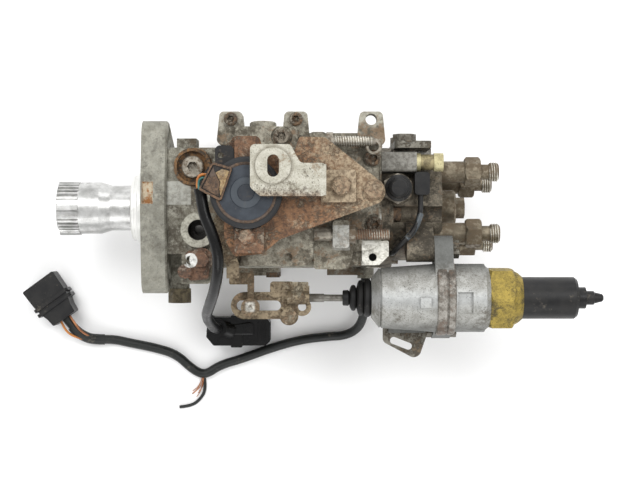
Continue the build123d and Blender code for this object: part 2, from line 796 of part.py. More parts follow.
# Small bracket with its bolt and dowel on the side deck
side_bracket = plate_z(
    [(28, -28), (44, -28), (43, -46), (30, -47)], front_deck_z,
    front_deck_z + side_bracket_thickness, 2.5
)
side_bracket -= rod_z(front_deck_z - 1, front_deck_z + 5, m6_radius + seat_gap, side_bolt_x, side_bolt_y)
side_bracket -= rod_z(front_deck_z - 1, front_deck_z + 5, m6_radius + seat_gap, side_pin_x, side_pin_y)
side_top_z = front_deck_z + side_bracket_thickness
side_bolt = turned_z(
    [(front_deck_z - 8, m6_radius), (side_top_z, m6_radius), (side_top_z, 7.5), (side_top_z + 1.2, 7.5)],
    side_bolt_x, side_bolt_y
)
side_bolt += hexagon_z(side_top_z + 1.1, side_top_z + 5, 9.0, side_bolt_x, side_bolt_y)
side_pin = turned_z(
    [(front_deck_z - 8, m6_radius), (side_top_z, m6_radius), (side_top_z, 4.4), (side_top_z + 4, 4.4)],
    side_pin_x - 3.5, side_pin_y - 7
)
side_bracket -= rod_z(
    front_deck_z - 1, front_deck_z + 5, m6_radius + seat_gap, side_pin_x - 3.5, side_pin_y - 7
)
for hole_x, hole_y in ((side_bolt_x, side_bolt_y), (side_pin_x - 3.5, side_pin_y - 7)):
    housing -= rod_z(front_deck_z - 8.5, front_deck_z + 1, m6_radius + seat_gap, hole_x, hole_y)
side_plug = rod_y(side_plug_y, side_plug_y + side_plug_depth, side_plug_radius, side_plug_x, side_plug_z)
side_plug += rod_y(side_plug_y - 2.0, side_plug_y, side_plug_radius + 2.4, side_plug_x, side_plug_z)
side_plug += hexagon_y(side_plug_y - 9.5, side_plug_y - 1.9, 13.0, side_plug_x, side_plug_z)
save("side_bracket", side_bracket, side_bolt, side_pin, side_plug)

# Pressure regulating valve: piston and hexagon-socket plug
regulator_piston = rod_z(
    regulator_bore_z + 0.3, regulator_bore_z + regulator_piston_length, regulator_bore_radius,
    regulator_x, regulator_y
)
save("regulator_piston", regulator_piston)
plug_bottom_z = regulator_bore_z + regulator_piston_length + regulator_travel + 0.5
regulator_plug = turned_z([
    (plug_bottom_z, regulator_bore_radius),
    (regulator_well_z, regulator_bore_radius),
    (regulator_well_z, regulator_plug_radius),
    (regulator_well_z + 2.6, regulator_plug_radius),
    (regulator_well_z + 3.2, regulator_plug_radius - 0.6),
], regulator_x, regulator_y)
regulator_plug -= hexagon_z(
    plug_bottom_z + 2, regulator_well_z + 4, regulator_socket, regulator_x, regulator_y
)
save("regulator_plug", regulator_plug)


def screw_z(x, y, seat_z, depth, radius=m6_radius, head=10.0, head_height=4.2, socket=0.0):
    """An upright hexagon or socket screw seated at seat_z, with its washer face."""
    if socket > 0:
        screw = turned_z([
            (seat_z - depth, radius), (seat_z, radius), (seat_z, head / 2),
            (seat_z + head_height - 0.8, head / 2), (seat_z + head_height, head / 2 - 0.8),
        ], x, y)
        return screw - hexagon_z(seat_z + head_height - 2.4, seat_z + head_height + 1, socket, x, y)
    shank = turned_z([
        (seat_z - depth, radius), (seat_z, radius), (seat_z, head * 0.62), (seat_z + 1.2, head * 0.62),
    ], x, y)
    return shank + hexagon_z(seat_z + 1.1, seat_z + head_height, head, x, y, 11.0)


# Governor cover: a high roof over the flyweights, a low roof behind it, three ears on the
# far side, posts for the sensor plate, the screw lugs and the throttle shaft boss
cover_bottom_z = cover_joint_z + gasket_thickness
cover_base_top_z = cover_bottom_z + cover_base_thickness
cover = joined([
    plate_z([
        (cover_start_x, cover_back_y), (cover_end_x, cover_back_y), (cover_end_x, cover_front_y),
        (cover_start_x, cover_front_y),
    ], cover_bottom_z, cover_base_top_z, 5.0),
    plate_z([
        (cover_start_x, cover_back_y), (cover_high_end_x, cover_back_y), (cover_high_end_x, 36.0),
        (cover_start_x, 36.0),
    ], cover_bottom_z, cover_high_top_z, 7.0),
    plate_z([(61.0, 30.0), (99.7, 30.0), (99.7, 49.0), (61.0, 49.0)], cover_base_top_z - 1, 63.0, 3.0),
    plate_z([
        (cover_high_end_x - 8, -34.0), (cover_end_x - 2, -26.0), (cover_end_x - 2, 34.0),
        (cover_high_end_x - 8, 34.0),
    ], cover_bottom_z, cover_low_top_z, 4.0),
    plate_z(
        [(139.8, -24.0), (139.8, -34.0), (142.0, -36.8), (150.5, -36.8), (156.5, -31.0), (156.5, -21.1)],
        cover_bottom_z, 50.0, 1.5
    ),
    plate_z(
        [(109.6, -39.3), (131.0, -39.3), (133.8, -30.0), (133.8, -20.0), (109.6, -20.0)],
        cover_base_top_z - 1, 55.8, 2.0
    ),
    plate_z([
        (
            stop_block_start_x, -26.0
        ), (stop_block_end_x, -26.0), (stop_block_end_x, -9.0), (stop_block_start_x, -9.0),
    ], cover_low_top_z - 2, stop_screw_z + 6.5, 2.0),
    plate_z([
        (idle_lug_start_x, 32.0), (idle_lug_end_x, 32.0), (idle_lug_end_x, idle_screw_y + 5.5),
        (idle_lug_start_x, idle_screw_y + 5.5),
    ], cover_base_top_z - 1, idle_screw_z + 5.5, 2.5),
    turned_z([
        (cover_high_top_z - 4, throttle_boss_radius + 2), (cover_high_top_z, throttle_boss_radius + 2),
        (throttle_boss_top_z, throttle_boss_radius),
    ], throttle_x, throttle_y),
])
for ear_x in ear_x_positions:
    ear = plate_z([
        (ear_x - ear_half_width - 2, cover_front_y - 8), (ear_x + ear_half_width + 2, cover_front_y - 8),
        (ear_x + ear_half_width, ear_y + 4.8), (ear_x - ear_half_width, ear_y + 4.8),
    ], ear_bottom_z, ear_top_z, 3.0)
    cover += ear
for place in main_post_places:
    cover += rod_z(cover_low_top_z - 3, sensor_plate_z, main_post_radius, *place)
for post_y in sensor_screw_y:
    cover += rod_z(cover_high_top_z - 3, sensor_plate_z, post_radius, sensor_screw_x, post_y)
cover -= block(
    cover_start_x + cover_wall, cover_high_end_x - cover_wall, -chamber_half_width, chamber_half_width,
    cover_joint_z, cover_high_top_z - cover_roof,
)
cover -= block(
    cover_high_end_x - cover_wall - 1, chamber_end, -chamber_half_width + 2, chamber_half_width - 2,
    cover_joint_z, cover_low_top_z - cover_roof,
)
cover -= rod_z(
    cover_high_top_z - cover_roof - 1, throttle_boss_top_z + 1, throttle_radius + running_gap,
    throttle_x, throttle_y
)
cover -= rod_x(
    cover_start_x - 1, cover_start_x + cover_wall + 1, governor_shaft_radius + free_gap,
    z=governor_z
)
cover -= rod_x(
    stop_block_start_x - 1, stop_block_end_x + 1, stop_screw_radius + seat_gap, stop_screw_y,
    stop_screw_z
)
cover -= rod_x(idle_lug_start_x - 1, idle_lug_end_x + 1, m6_radius + seat_gap, idle_screw_y, idle_screw_z)
cover -= rod_z(cover_high_top_z - 4, cover_high_top_z + 1, threaded_m6_radius, cover_hole_x, cover_hole_y)
cover -= rod_z(cover_bottom_z - 1, 51.0, threaded_m6_radius, lug_hole_x, lug_hole_y)
for ear_x in ear_x_positions:
    cover -= rod_z(ear_bottom_z - 1, ear_top_z + 1, ear_hole_radius, ear_x, ear_y)

# Cover screws go down into the housing; two ears hold short screws of their own
cover_screws = []
screw_depth = 10.0
for screw_x, screw_y in cover_screw_places:
    local_top = cover_base_top_z
    if screw_x < cover_high_end_x and screw_y < 36:
        local_top = cover_high_top_z
    elif screw_y < 34:
        local_top = cover_low_top_z
    elif screw_x < 99.7:
        local_top = 63.0
    well_floor = local_top - 1.5
    cover -= rod_z(well_floor, local_top + 8, 6.6, screw_x, screw_y)
    cover -= rod_z(cover_joint_z - 1, local_top + 1, m6_radius + seat_gap, screw_x, screw_y)
    housing -= rod_z(
        cover_joint_z - screw_depth - 0.5, cover_joint_z + 1, m6_radius + seat_gap, screw_x, screw_y
    )
    cover_screws.append(
        screw_z(screw_x, screw_y, well_floor, well_floor - cover_joint_z + screw_depth, socket=5.0)
    )
for ear_x in ear_x_positions[:2]:
    cover_screws.append(
        screw_z(
            ear_x, ear_y, ear_top_z, ear_top_z - ear_bottom_z - 1,
            radius=ear_hole_radius - seat_gap, head=8.4, head_height=3.0, socket=4.0
        )
    )
save("cover_screws", *cover_screws)

gasket = plate_z([
    (cover_start_x, cover_back_y), (cover_end_x, cover_back_y), (cover_end_x, cover_front_y), (
        cover_start_x, cover_front_y
    ),
], cover_joint_z, cover_bottom_z, 5.0)
gasket -= rod_x(
    cover_start_x - 1, cover_start_x + cover_wall + 1, governor_shaft_radius + free_gap,
    z=governor_z
)
gasket -= block(
    cover_start_x + cover_wall, chamber_end, -chamber_half_width, chamber_half_width,
    cover_joint_z - 1, cover_bottom_z + 1
)
for screw_x, screw_y in cover_screw_places:
    gasket -= rod_z(cover_joint_z - 1, cover_bottom_z + 1, m6_radius + seat_gap, screw_x, screw_y)
save("cover_gasket", gasket)

# Stop screws with their lock nuts: the speed stop behind the sensor plate and the long
# idle stop along the far edge
nut_width = 4.0
speed_stop = joined([
    rod_x(112.0, 156.3, stop_screw_radius, stop_screw_y, stop_screw_z),
    rod_x(cover_high_end_x + free_gap, stop_block_start_x - 1.4, 4.2, stop_screw_y, stop_screw_z),
])
speed_nut = hexagon_x(stop_block_end_x, stop_block_end_x + nut_width, 10.0, stop_screw_y, stop_screw_z)
speed_nut -= rod_x(
    stop_block_end_x - 1, stop_block_end_x + nut_width + 1, stop_screw_radius + seat_gap,
    stop_screw_y, stop_screw_z
)
idle_stop = joined([
    rod_x(101.0, 146.0, m6_radius, idle_screw_y, idle_screw_z),
    turned_x([(146.0, m6_radius), (148.0, 1.8)], idle_screw_y, idle_screw_z),
])
idle_nut = hexagon_x(idle_lug_end_x, idle_lug_end_x + nut_width, 10.0, idle_screw_y, idle_screw_z)
idle_nut -= rod_x(
    idle_lug_end_x - 1, idle_lug_end_x + nut_width + 1, m6_radius + seat_gap, idle_screw_y,
    idle_screw_z
)
save("stop_screws", speed_stop, speed_nut, idle_stop, idle_nut)

# Distributor head: spigot, flange, scalloped body, bosses for solenoid, return fitting,
# rear bracket and the foot that carries the actuator
head = joined([
    rod_x(spigot_start, housing_end + 1, spigot_radius),
    rod_x(housing_end, head_flange_end, barrel_radius),
    turned_x(
        [
            (head_flange_end - 1, head_body_radius), (head_end - 1.5, head_body_radius),
            (head_end, head_body_radius - 1.5)
        ]
    ),
    rod_z(20, solenoid_seat_z, solenoid_boss_radius, solenoid_x, solenoid_y),
    plate_x(
        [(22.0, 12.0), (34.7, 12.0), (34.7, 41.0), (22.0, 41.0)], housing_end + 0.5,
        return_block_end_x, 2.0
    ),
    extrude(
        Plane.YZ.offset(foot_start_x) * circle_hull(
            [((foot_y, foot_z), foot_radius), ((-16.0, 20.0), 12.0)]
        ),
        foot_end_x - foot_start_x
    ),
])
for bolt_z in rear_bolt_heights:
    head += rod_y(24, rear_plate_y, 7.5, rear_bolt_x, bolt_z)
head -= rod_x(spigot_start - 1, plunger_end_x + 1.5, plunger_radius + running_gap)
plug_shank_radius = 9.0
plug_shank_start = head_end - 9.0
head -= rod_x(plug_shank_start - 0.5, head_end + 1, plug_shank_radius + seat_gap)
head_screws = []
for index in range(4):
    screw_y, screw_z_place = polar(head_screw_circle, head_screw_first_angle + 90 * index)
    head -= rod_x(head_flange_end, head_end + 1, m5_head_radius + 1.0, screw_y, screw_z_place)
    head -= rod_x(housing_end - 1, head_flange_end + 1, m5_radius + seat_gap, screw_y, screw_z_place)
    housing -= rod_x(housing_end - 12.5, housing_end + 1, m5_radius + seat_gap, screw_y, screw_z_place)
    screw = turned_x([
        (housing_end - 12, m5_radius), (head_flange_end, m5_radius), (head_flange_end, m5_head_radius),
        (head_flange_end + 5, m5_head_radius),
    ], screw_y, screw_z_place)
    screw -= hexagon_x(head_flange_end + 2.5, head_flange_end + 6, 4.0, screw_y, screw_z_place)
    head_screws.append(screw)
save("head_screws", *head_screws)

# Four delivery valve holders with the valve pistons and their springs inside
holder_bore = 4.6
valve_seat_x = holder_start_x + 1.0
outlet_bore_radius = 1.4
valve_holders = []
for index in range(4):
    valve_y, valve_z = polar(valve_circle_radius, valve_first_angle + 90 * index)
    head -= rod_x(holder_start_x, head_end + 1, holder_radius + seat_gap, valve_y, valve_z)
    holder = turned_x([
        (holder_start_x, holder_radius),
        (holder_hex_start_x, holder_radius),
        (holder_hex_start_x, 8.0),
        (holder_hex_end_x, 8.0),
        (holder_hex_end_x, holder_neck_radius),
        (holder_thread_start_x, holder_neck_radius),
        (holder_thread_start_x + 0.8, outlet_radius),
        (holder_tip_x - 1.0, outlet_radius),
        (holder_tip_x, outlet_radius - 1.0),
    ], valve_y, valve_z)
    hexagon = hexagon_x(holder_hex_start_x, holder_hex_end_x, holder_hex, valve_y, valve_z, 15.0 * index)
    holder = holder + (hexagon & turned_x([
        (holder_hex_start_x, holder_hex / 2), (holder_hex_start_x + 1.2, holder_hex / 2 + 1.3),
        (holder_hex_end_x - 1.2, holder_hex / 2 + 1.3), (holder_hex_end_x, holder_hex / 2),
    ], valve_y, valve_z))
    holder -= rod_x(holder_start_x - 1, holder_hex_start_x + 2, holder_bore, valve_y, valve_z)
    holder -= rod_x(holder_hex_start_x, holder_tip_x + 1, outlet_bore_radius, valve_y, valve_z)
    holder -= turned_x(
        [(holder_tip_x - 2.6, outlet_bore_radius), (holder_tip_x + 0.1, 4.0)], valve_y, valve_z
    )
    valve_holders.append(holder)
    valve = turned_x([
        (valve_seat_x, 2.4), (valve_seat_x + 2.0, holder_bore - running_gap),
        (valve_seat_x + valve_length, holder_bore - running_gap), (valve_seat_x + valve_length, 1.6),
        (valve_seat_x + valve_length + 3.0, 1.6),
    ], valve_y, valve_z)
    save(f"delivery_valve_{index + 1}", valve)
save("valve_holders", *valve_holders)

# Centre plug with the bleed screw
plug_end_x = 202.4
bleed_end_x = 208.4
head_plug = turned_x([
    (
        plug_shank_start, plug_shank_radius
    ), (head_end, plug_shank_radius), (head_end, 11.7), (plug_end_x - 1.2, 11.7),
    (plug_end_x, 10.5),
])
head_plug -= rod_x(plug_end_x - 8, plug_end_x + 1, m6_radius)
bleed_screw = joined([
    rod_x(plug_end_x - 7.5, plug_end_x + 0.5, m6_radius - seat_gap),
    hexagon_x(plug_end_x, bleed_end_x, 12.0, turn=8.0),
])
save("head_plug", head_plug, bleed_screw)

# Return fitting: banjo eye between two sealing washers on a hollow bolt
return_washer = 2.6
eye_start_x = return_block_end_x + return_washer
eye_end_x = eye_start_x + 8.4
bolt_radius = 4.0
return_bolt = turned_x([
    (return_block_end_x - 9, bolt_radius), (
        eye_end_x + return_washer, bolt_radius
    ), (eye_end_x + return_washer, 5.8),
    (eye_end_x + return_washer + 3.4, 5.8),
], return_y, return_z)
return_eye = rod_x(eye_start_x, eye_end_x, 5.0, return_y, return_z) - rod_x(
    eye_start_x - 1, eye_end_x + 1, bolt_radius + seat_gap, return_y, return_z
)
washers = [
    rod_x(x0, x0 + return_washer, 5.8, return_y, return_z) - rod_x(
        x0 - 1, x0 + return_washer + 1, bolt_radius + seat_gap, return_y, return_z
    )
    for x0 in (return_block_end_x, eye_end_x)
]
head -= rod_x(return_block_end_x - 9.5, return_block_end_x + 1, bolt_radius + seat_gap, return_y, return_z)
save("return_fitting", return_bolt, return_eye, *washers)

# Fuel cut-off solenoid with its rubber boot, and the armature that slides inside
solenoid_hex_end_z = solenoid_seat_z + 5.0
solenoid_top_z = solenoid_seat_z + 14.0
armature_radius = 4.0
armature_z = 28.0
armature_length = 14.0
armature_travel = 2.0
solenoid = joined([
    rod_z(armature_z + 2.0, solenoid_seat_z + 0.5, 7.0, solenoid_x, solenoid_y),
    hexagon_z(solenoid_seat_z, solenoid_hex_end_z, 17.0, solenoid_x, solenoid_y, 30.0),
    turned_z([
        (solenoid_hex_end_z - 0.5, 8.0), (solenoid_top_z - 1.5, 8.0), (solenoid_top_z, 6.5),
    ], solenoid_x, solenoid_y),
])
armature_bore_end = armature_z + armature_length + armature_travel + 0.5
solenoid -= rod_z(armature_z - 1, armature_bore_end, armature_radius + running_gap, solenoid_x, solenoid_y)
head -= rod_z(armature_z + 1.5, solenoid_seat_z + 1, 7.0 + seat_gap, solenoid_x, solenoid_y)
head -= rod_z(solenoid_seat_z, solenoid_seat_z + 6, 10.2, solenoid_x, solenoid_y)
head -= rod_z(armature_z - 4, armature_z + 2, armature_radius + 0.8, solenoid_x, solenoid_y)
save("cutoff_solenoid", solenoid)
save(
    "solenoid_armature",
    rod_z(armature_z, armature_z + armature_length, armature_radius, solenoid_x, solenoid_y)
)
solenoid_boot = turned_z([
    (solenoid_top_z, 8.4), (
        solenoid_top_z + 2.0, 8.4
    ), (solenoid_top_z + 3.2, 6.6), (solenoid_top_z + 6.5, 6.2),
    (solenoid_top_z + 8.0, 4.6),
], solenoid_x, solenoid_y)
terminal_block = plate_z(
    [(173.2, 7.4), (182.6, 7.4), (182.6, 21.7), (173.2, 21.7)], head_body_radius - 8, 45.0, 2.0
)
terminal_block -= rod_x(170, 184, head_body_radius)
save("solenoid_boot", solenoid_boot, terminal_block)

# Rear bracket: an upright steel plate from the head down to the rest plane
rear_plate_end_y = rear_plate_y + rear_plate_thickness
rear_outline = make_face(Polyline(
    (160.6, 40.5), (184.0, 40.5), (184.0, -28.0), (190.0, -42.0), (
        190.0, rest_z
    ), (160.6, rest_z), close=True,
))
rear_outline = fillet(rear_outline.vertices(), 3.0)
rear_plate = Pos(0, rear_plate_end_y, 0) * extrude(Plane.XZ * rear_outline, rear_plate_thickness)
rear_hole_places = ((168.0, -51.0), (182.5, -51.0))
for hole_x, hole_z in rear_hole_places:
    rear_plate -= rod_y(rear_plate_y - 1, rear_plate_end_y + 1, 4.3, hole_x, hole_z)
rear_plate -= rod_y(rear_plate_y - 1, rear_plate_end_y + 1, 8.0, 170.0, -32.0)
rear_bolts = []
for bolt_z in rear_bolt_heights:
    rear_plate -= rod_y(rear_plate_y - 1, rear_plate_end_y + 1, m8_radius + seat_gap, rear_bolt_x, bolt_z)
    head -= rod_y(rear_plate_y - 10.5, rear_plate_y + 1, m8_radius + seat_gap, rear_bolt_x, bolt_z)
    shank = rod_y(rear_plate_y - 10, rear_plate_end_y + 0.5, m8_radius, rear_bolt_x, bolt_z)
    rear_bolts.append(
        shank + hexagon_y(rear_plate_end_y, rear_plate_end_y + 5.5, 13.0, rear_bolt_x, bolt_z)
    )
save("rear_bracket", rear_plate, *rear_bolts)

# Sensor plate: the three-cornered steel plate on the cover's posts
sensor_plate_top_z = sensor_plate_z + sensor_plate_thickness
plate_outline = make_face(Polyline(
    (61.5, 41.0), (77.0, 41.0), (79.5, 32.5), (98.5, 32.5), (101.0, 41.0), (116.5, 40.6), (160.8, 5.4),
    (89.4, -20.7), (79.2, -29.5), (62.0, -31.0), (56.0, -20.0), (55.0, 30.0), close=True,
))
tip_vertex = plate_outline.vertices().sort_by(Axis.X)[-1]
plate_outline = fillet(tip_vertex, 8.0)
sharp_vertices = [vertex for vertex in plate_outline.vertices() if vertex.X < 125]
plate_outline = fillet(sharp_vertices, 2.5)
sensor_plate = extrude(Pos(0, 0, sensor_plate_z) * plate_outline, sensor_plate_thickness)
sensor_plate -= rod_z(
    sensor_plate_z - 1, sensor_plate_top_z + 1, throttle_radius + 1.5, throttle_x, throttle_y
)
sensor_screw_places = [(sensor_screw_x, post_y) for post_y in sensor_screw_y]
bracket_screw_places = list(main_post_places) + sensor_screw_places
for place in bracket_screw_places:
    sensor_plate -= rod_z(sensor_plate_z - 1, sensor_plate_top_z + 1, m6_radius + seat_gap, *place)
    cover -= rod_z(sensor_plate_z - 12.5, sensor_plate_z + 1, m6_radius + seat_gap, *place)
save("governor_cover", cover)
save("sensor_plate", sensor_plate)

# Slotted bracket: bent sheet with a top plate, a leg and a foot under the first bolt
sheet = 3.0
slotted_top_z = 103.5
slotted_leg_x = 114.2
foot_top_z = sensor_plate_top_z + sheet
slot_x, slot_y = 85.9, 22.7
cable_slot_width, cable_slot_length = 7.0, 13.2
slotted_bracket = joined([
    plate_z([
        (72.3, 10.0), (72.3, 35.4), (96.0, 35.4), (102.0, 24.3), (slotted_leg_x + sheet, 24.3),
        (slotted_leg_x + sheet, 4.8), (78.0, 4.8),
    ], slotted_top_z - sheet, slotted_top_z, 3.0),
    plate_z([
        (slotted_leg_x, 5.5), (slotted_leg_x + sheet, 5.5), (
            slotted_leg_x + sheet, 23.6
        ), (slotted_leg_x, 23.6),
    ], sensor_plate_top_z, slotted_top_z - 0.5),
    plate_z(
        [(slotted_leg_x, 1.5), (135.0, 1.5), (135.0, 21.0), (slotted_leg_x, 21.0)],
        sensor_plate_top_z, foot_top_z, 1.2
    ),
])
slot_pad_radius = 10.6
slot_pad_height = 0.8
slot_pad = turned_z([
    (slotted_top_z - 0.5, slot_pad_radius + 0.6), (slotted_top_z, slot_pad_radius + 0.6),
    (slotted_top_z + slot_pad_height, slot_pad_radius),
], slot_x, slot_y)
slotted_bracket += slot_pad
slotted_bracket -= extrude(
    Pos(slot_x, slot_y, slotted_top_z - sheet - 1) * SlotOverall(
        cable_slot_length, cable_slot_width, rotation=90
    ),
    sheet + slot_pad_height + 2,
)
slotted_bracket -= rod_z(sensor_plate_top_z - 1, foot_top_z + 1, m6_radius + seat_gap, *main_post_places[0])
save("slotted_bracket", slotted_bracket)

# Throttle position sensor: housing with ears and connector box, and its cap
sensor_radius = 21.5
sensor_cavity_radius = 10.5
sensor_top_z = 95.5
sensor_ear_top_z = 90.0
screw_pocket_radius = 5.8
cap_top_z = 98.5
cable_radius = 3.5
cable_exit_x, cable_exit_y, cable_exit_z = 42.0, 9.5, 90.5
box_top_z = 100.0
box_rim = 1.1
box_outline = [(41.5, 8.7), (49.9, 25.1), (61.8, 21.6), (54.9, 1.7)]
box_centre_x, box_centre_y = 52.0, 14.3


def scaled_box(factor):
    """Outline of the connector box made larger or smaller about its middle."""
    return [
        (
            box_centre_x + factor * (x - box_centre_x), box_centre_y + factor * (y - box_centre_y)
        ) for x, y in box_outline
    ]


ear_circles = [((throttle_x, throttle_y), 12.0)] + [(place, 7.0) for place in sensor_screw_places]
sensor_housing = joined([
    rod_z(sensor_plate_top_z, sensor_top_z, sensor_radius, throttle_x, throttle_y),
    extrude(
        Pos(0, 0, sensor_plate_top_z) * circle_hull(ear_circles),
        sensor_ear_top_z - sensor_plate_top_z
    ),
    plate_z([
        (38.3, cable_exit_y), (51.0, cable_exit_y), (60.0, 5.0), (60.0, 22.0), (47.0, 22.5),
    ], sensor_plate_top_z, sensor_top_z - 1.6, 1.2),
    plate_z(box_outline, sensor_top_z - 2.0, box_top_z, 1.5),
    plate_z(
        [(50.7, 20.0), (62.0, 20.0), (62.0, 35.5), (50.7, 35.5)], sensor_plate_top_z,
        sensor_ear_top_z, 3.0
    ),
])
sensor_housing -= plate_z(scaled_box(0.86), box_top_z - box_rim, box_top_z + 1, 1.0)
sensor_housing -= rod_z(
    sensor_plate_top_z - 1, sensor_top_z - 1.0, sensor_cavity_radius, throttle_x, throttle_y
)
sensor_housing -= rod_z(sensor_plate_top_z - 1, sensor_ear_top_z + 1, 1.8, 54.0, 29.6)
clamp_top_z = sensor_ear_top_z + 1.6
clamps = [
    plate_z([(62.5, 26.5), (77.0, 26.5), (77.0, 41.0), (62.5, 41.0)], sensor_ear_top_z, clamp_top_z, 2.0),
    plate_z(
        [(62.5, -29.0), (80.0, -29.0), (80.0, -13.5), (62.5, -13.5)], sensor_ear_top_z, clamp_top_z,
        2.0
    ),
]
bracket_screws = [
    screw_z(*main_post_places[0], foot_top_z, foot_top_z - sensor_plate_z + 12),
    screw_z(*main_post_places[1], sensor_plate_top_z, sensor_plate_thickness + 12, head_height=3.2),
]
clamp_ring = rod_z(sensor_plate_top_z, clamp_top_z + 1, sensor_radius + free_gap, throttle_x, throttle_y)
for index, place in enumerate(sensor_screw_places):
    sensor_housing -= rod_z(sensor_plate_top_z - 1, sensor_ear_top_z + 1, m6_radius + seat_gap, *place)
    sensor_housing -= rod_z(sensor_ear_top_z, sensor_top_z + 1, screw_pocket_radius, *place)
    clamps[index] = clamps[index] - rod_z(
        sensor_ear_top_z - 1, clamp_top_z + 1, m6_radius + seat_gap, *place
    ) - clamp_ring
    bracket_screws.append(
        screw_z(*place, clamp_top_z, clamp_top_z - sensor_plate_z + 12, head=8.5, head_height=3.2)
    )
save("bracket_fasteners", *bracket_screws, *clamps)
save("sensor_housing", sensor_housing)
sensor_cap = turned_z([
    (sensor_top_z, sensor_radius), (sensor_top_z + 1.2, sensor_radius), (
        sensor_top_z + 1.8, sensor_radius - 1.2
    ),
    (sensor_top_z + 1.8, 9.6), (sensor_top_z + 2.4, 9.0), (sensor_top_z + 2.4, 5.2), (cap_top_z, 4.8),
], throttle_x, throttle_y)
sensor_cap -= plate_z(scaled_box(1.02), sensor_top_z - 1, cap_top_z + 1, 1.3)
save("sensor_cap", sensor_cap)

# Throttle shaft with its crank inside the cover and the sensor's rotor on top
crank_top_z = cover_high_top_z - cover_roof - 1.0
crank_bottom_z = crank_top_z - 2.8
shaft_top_z = sensor_top_z - 1.6
throttle_shaft = rod_z(crank_bottom_z, shaft_top_z, throttle_radius, throttle_x, throttle_y)
throttle_shaft += extrude(
    Pos(0, 0, crank_bottom_z) * circle_hull(
        [((throttle_x, throttle_y), 6.5), ((throttle_x + 7, throttle_y), 4.0)]
    ), 2.8
)
sensor_rotor = rod_z(
    sensor_plate_top_z + 1.0, shaft_top_z, sensor_cavity_radius - free_gap, throttle_x, throttle_y
)
sensor_rotor -= rod_z(sensor_plate_top_z, sensor_top_z, throttle_radius, throttle_x, throttle_y)
save("throttle_shaft", throttle_shaft, sensor_rotor)

# Throttle lever: a bent arm that passes the sensor post, drops beside the cover and
# ends in a pin that stands in the yoke's slot
rod_axis_y, rod_axis_z = -57.6, 42.0
lever_z = throttle_boss_top_z + free_gap
lever_sheet = 3.0
lever_top = lever_z + lever_sheet
leg_start_x, leg_end_x = 56.5, 64.0
leg_y = -41.5
lever_foot_z = 44.0
pin_x, pin_y = 69.9, -63.4
pin_radius = 2.0
yoke_top_z = 41.5
yoke_thickness = 3.0
arm_elbow = (51.0, -14.0)
arm_shoulder = (60.2, -36.0)
throttle_lever = joined([
    extrude(
        Pos(0, 0, lever_z) * circle_hull([((throttle_x, throttle_y), 9.0), (arm_elbow, 5.0)]),
        lever_sheet
    ),
    extrude(Pos(0, 0, lever_z) * circle_hull([(arm_elbow, 5.0), (arm_shoulder, 3.75)]), lever_sheet),
    block(leg_start_x, leg_end_x, leg_y - lever_sheet, arm_shoulder[1], lever_z, lever_top),
    block(leg_start_x, leg_end_x, leg_y - lever_sheet, leg_y, lever_foot_z, lever_top),
    plate_z(
        [(leg_start_x, leg_y), (72.1, leg_y), (72.1, -49.0), (leg_start_x, -49.0)], lever_foot_z,
        lever_foot_z + lever_sheet, 1.0
    ),
    plate_z([(68.0, -48.0), (72.1, -48.0), (72.1, -60.0), (68.0, -60.0)], lever_foot_z, lever_foot_z + 4.0),
    rod_z(lever_foot_z, lever_foot_z + 4.0, 5.0, pin_x, pin_y),
    rod_z(lever_foot_z + 3.5, lever_foot_z + 5.6, 5.9, pin_x, pin_y),
    rod_z(yoke_top_z - yoke_thickness - 2.2, lever_foot_z + 1, pin_radius, pin_x, pin_y),
    rod_z(yoke_top_z - yoke_thickness - 2.2, yoke_top_z - yoke_thickness - free_gap, 4.4, pin_x, pin_y),
])
throttle_lever -= rod_z(lever_z - 1, lever_top + 1, throttle_radius, throttle_x, throttle_y)
save("throttle_lever", throttle_lever)

# Yoke and pull rod of the cold-start actuator
yoke_slot_x0, yoke_slot_x1 = 60.8, 88.8
yoke_slot_width = 6.4
yoke_y = -62.5
yoke_end_radius = 8.5
yoke_bottom_z = yoke_top_z - yoke_thickness
yoke_middle_x = (yoke_slot_x0 + yoke_slot_x1) / 2
clamp_bolt_x, clamp_bolt_y = 94.0, -69.0
clamp_end_x = 106.8
rod_thick_radius = 2.65
rod_thin_radius = 2.15
yoke = joined([
    extrude(
        Pos(0, 0, yoke_bottom_z) * circle_hull(
            [((65.8, yoke_y), yoke_end_radius), ((86.0, yoke_y), yoke_end_radius)]
        ),
        yoke_thickness
    ),
    plate_z([(82.0, -71.0), (97.0, -71.0), (97.0, -47.3), (82.0, -47.3)], yoke_bottom_z, yoke_top_z, 2.0),
    plate_z([(95.0, -52.3), (106.2, -52.3), (106.2, -47.6), (95.0, -47.6)], yoke_bottom_z, yoke_top_z, 1.0),
    rod_z(yoke_bottom_z, yoke_top_z, 5.7, 102.2, -63.4),
    plate_z([(94.0, -68.0), (104.0, -68.0), (104.0, -59.0), (94.0, -59.0)], yoke_bottom_z, yoke_top_z, 1.0),
    rod_x(93.0, clamp_end_x, 4.2, rod_axis_y, rod_axis_z),
    plate_z(
        [(93.0, -58.5), (clamp_end_x, -58.5), (clamp_end_x, -50.0), (93.0, -50.0)], yoke_bottom_z,
        yoke_top_z
    ),
])
yoke -= extrude(
    Pos(yoke_middle_x, yoke_y, yoke_bottom_z - 1) * SlotOverall(
        yoke_slot_x1 - yoke_slot_x0, yoke_slot_width
    ), yoke_thickness + 2
)
yoke -= rod_z(yoke_bottom_z - 1, yoke_top_z + 1, 2.6, 102.2, -63.4)
yoke -= rod_x(96.0, clamp_end_x + 1, rod_thick_radius + seat_gap, rod_axis_y, rod_axis_z)
yoke -= rod_z(yoke_bottom_z - 1, yoke_top_z + 1, m6_radius + seat_gap, clamp_bolt_x, clamp_bolt_y)
yoke_bolt = screw_z(clamp_bolt_x, clamp_bolt_y, yoke_top_z, yoke_thickness + 4, head=9.5)
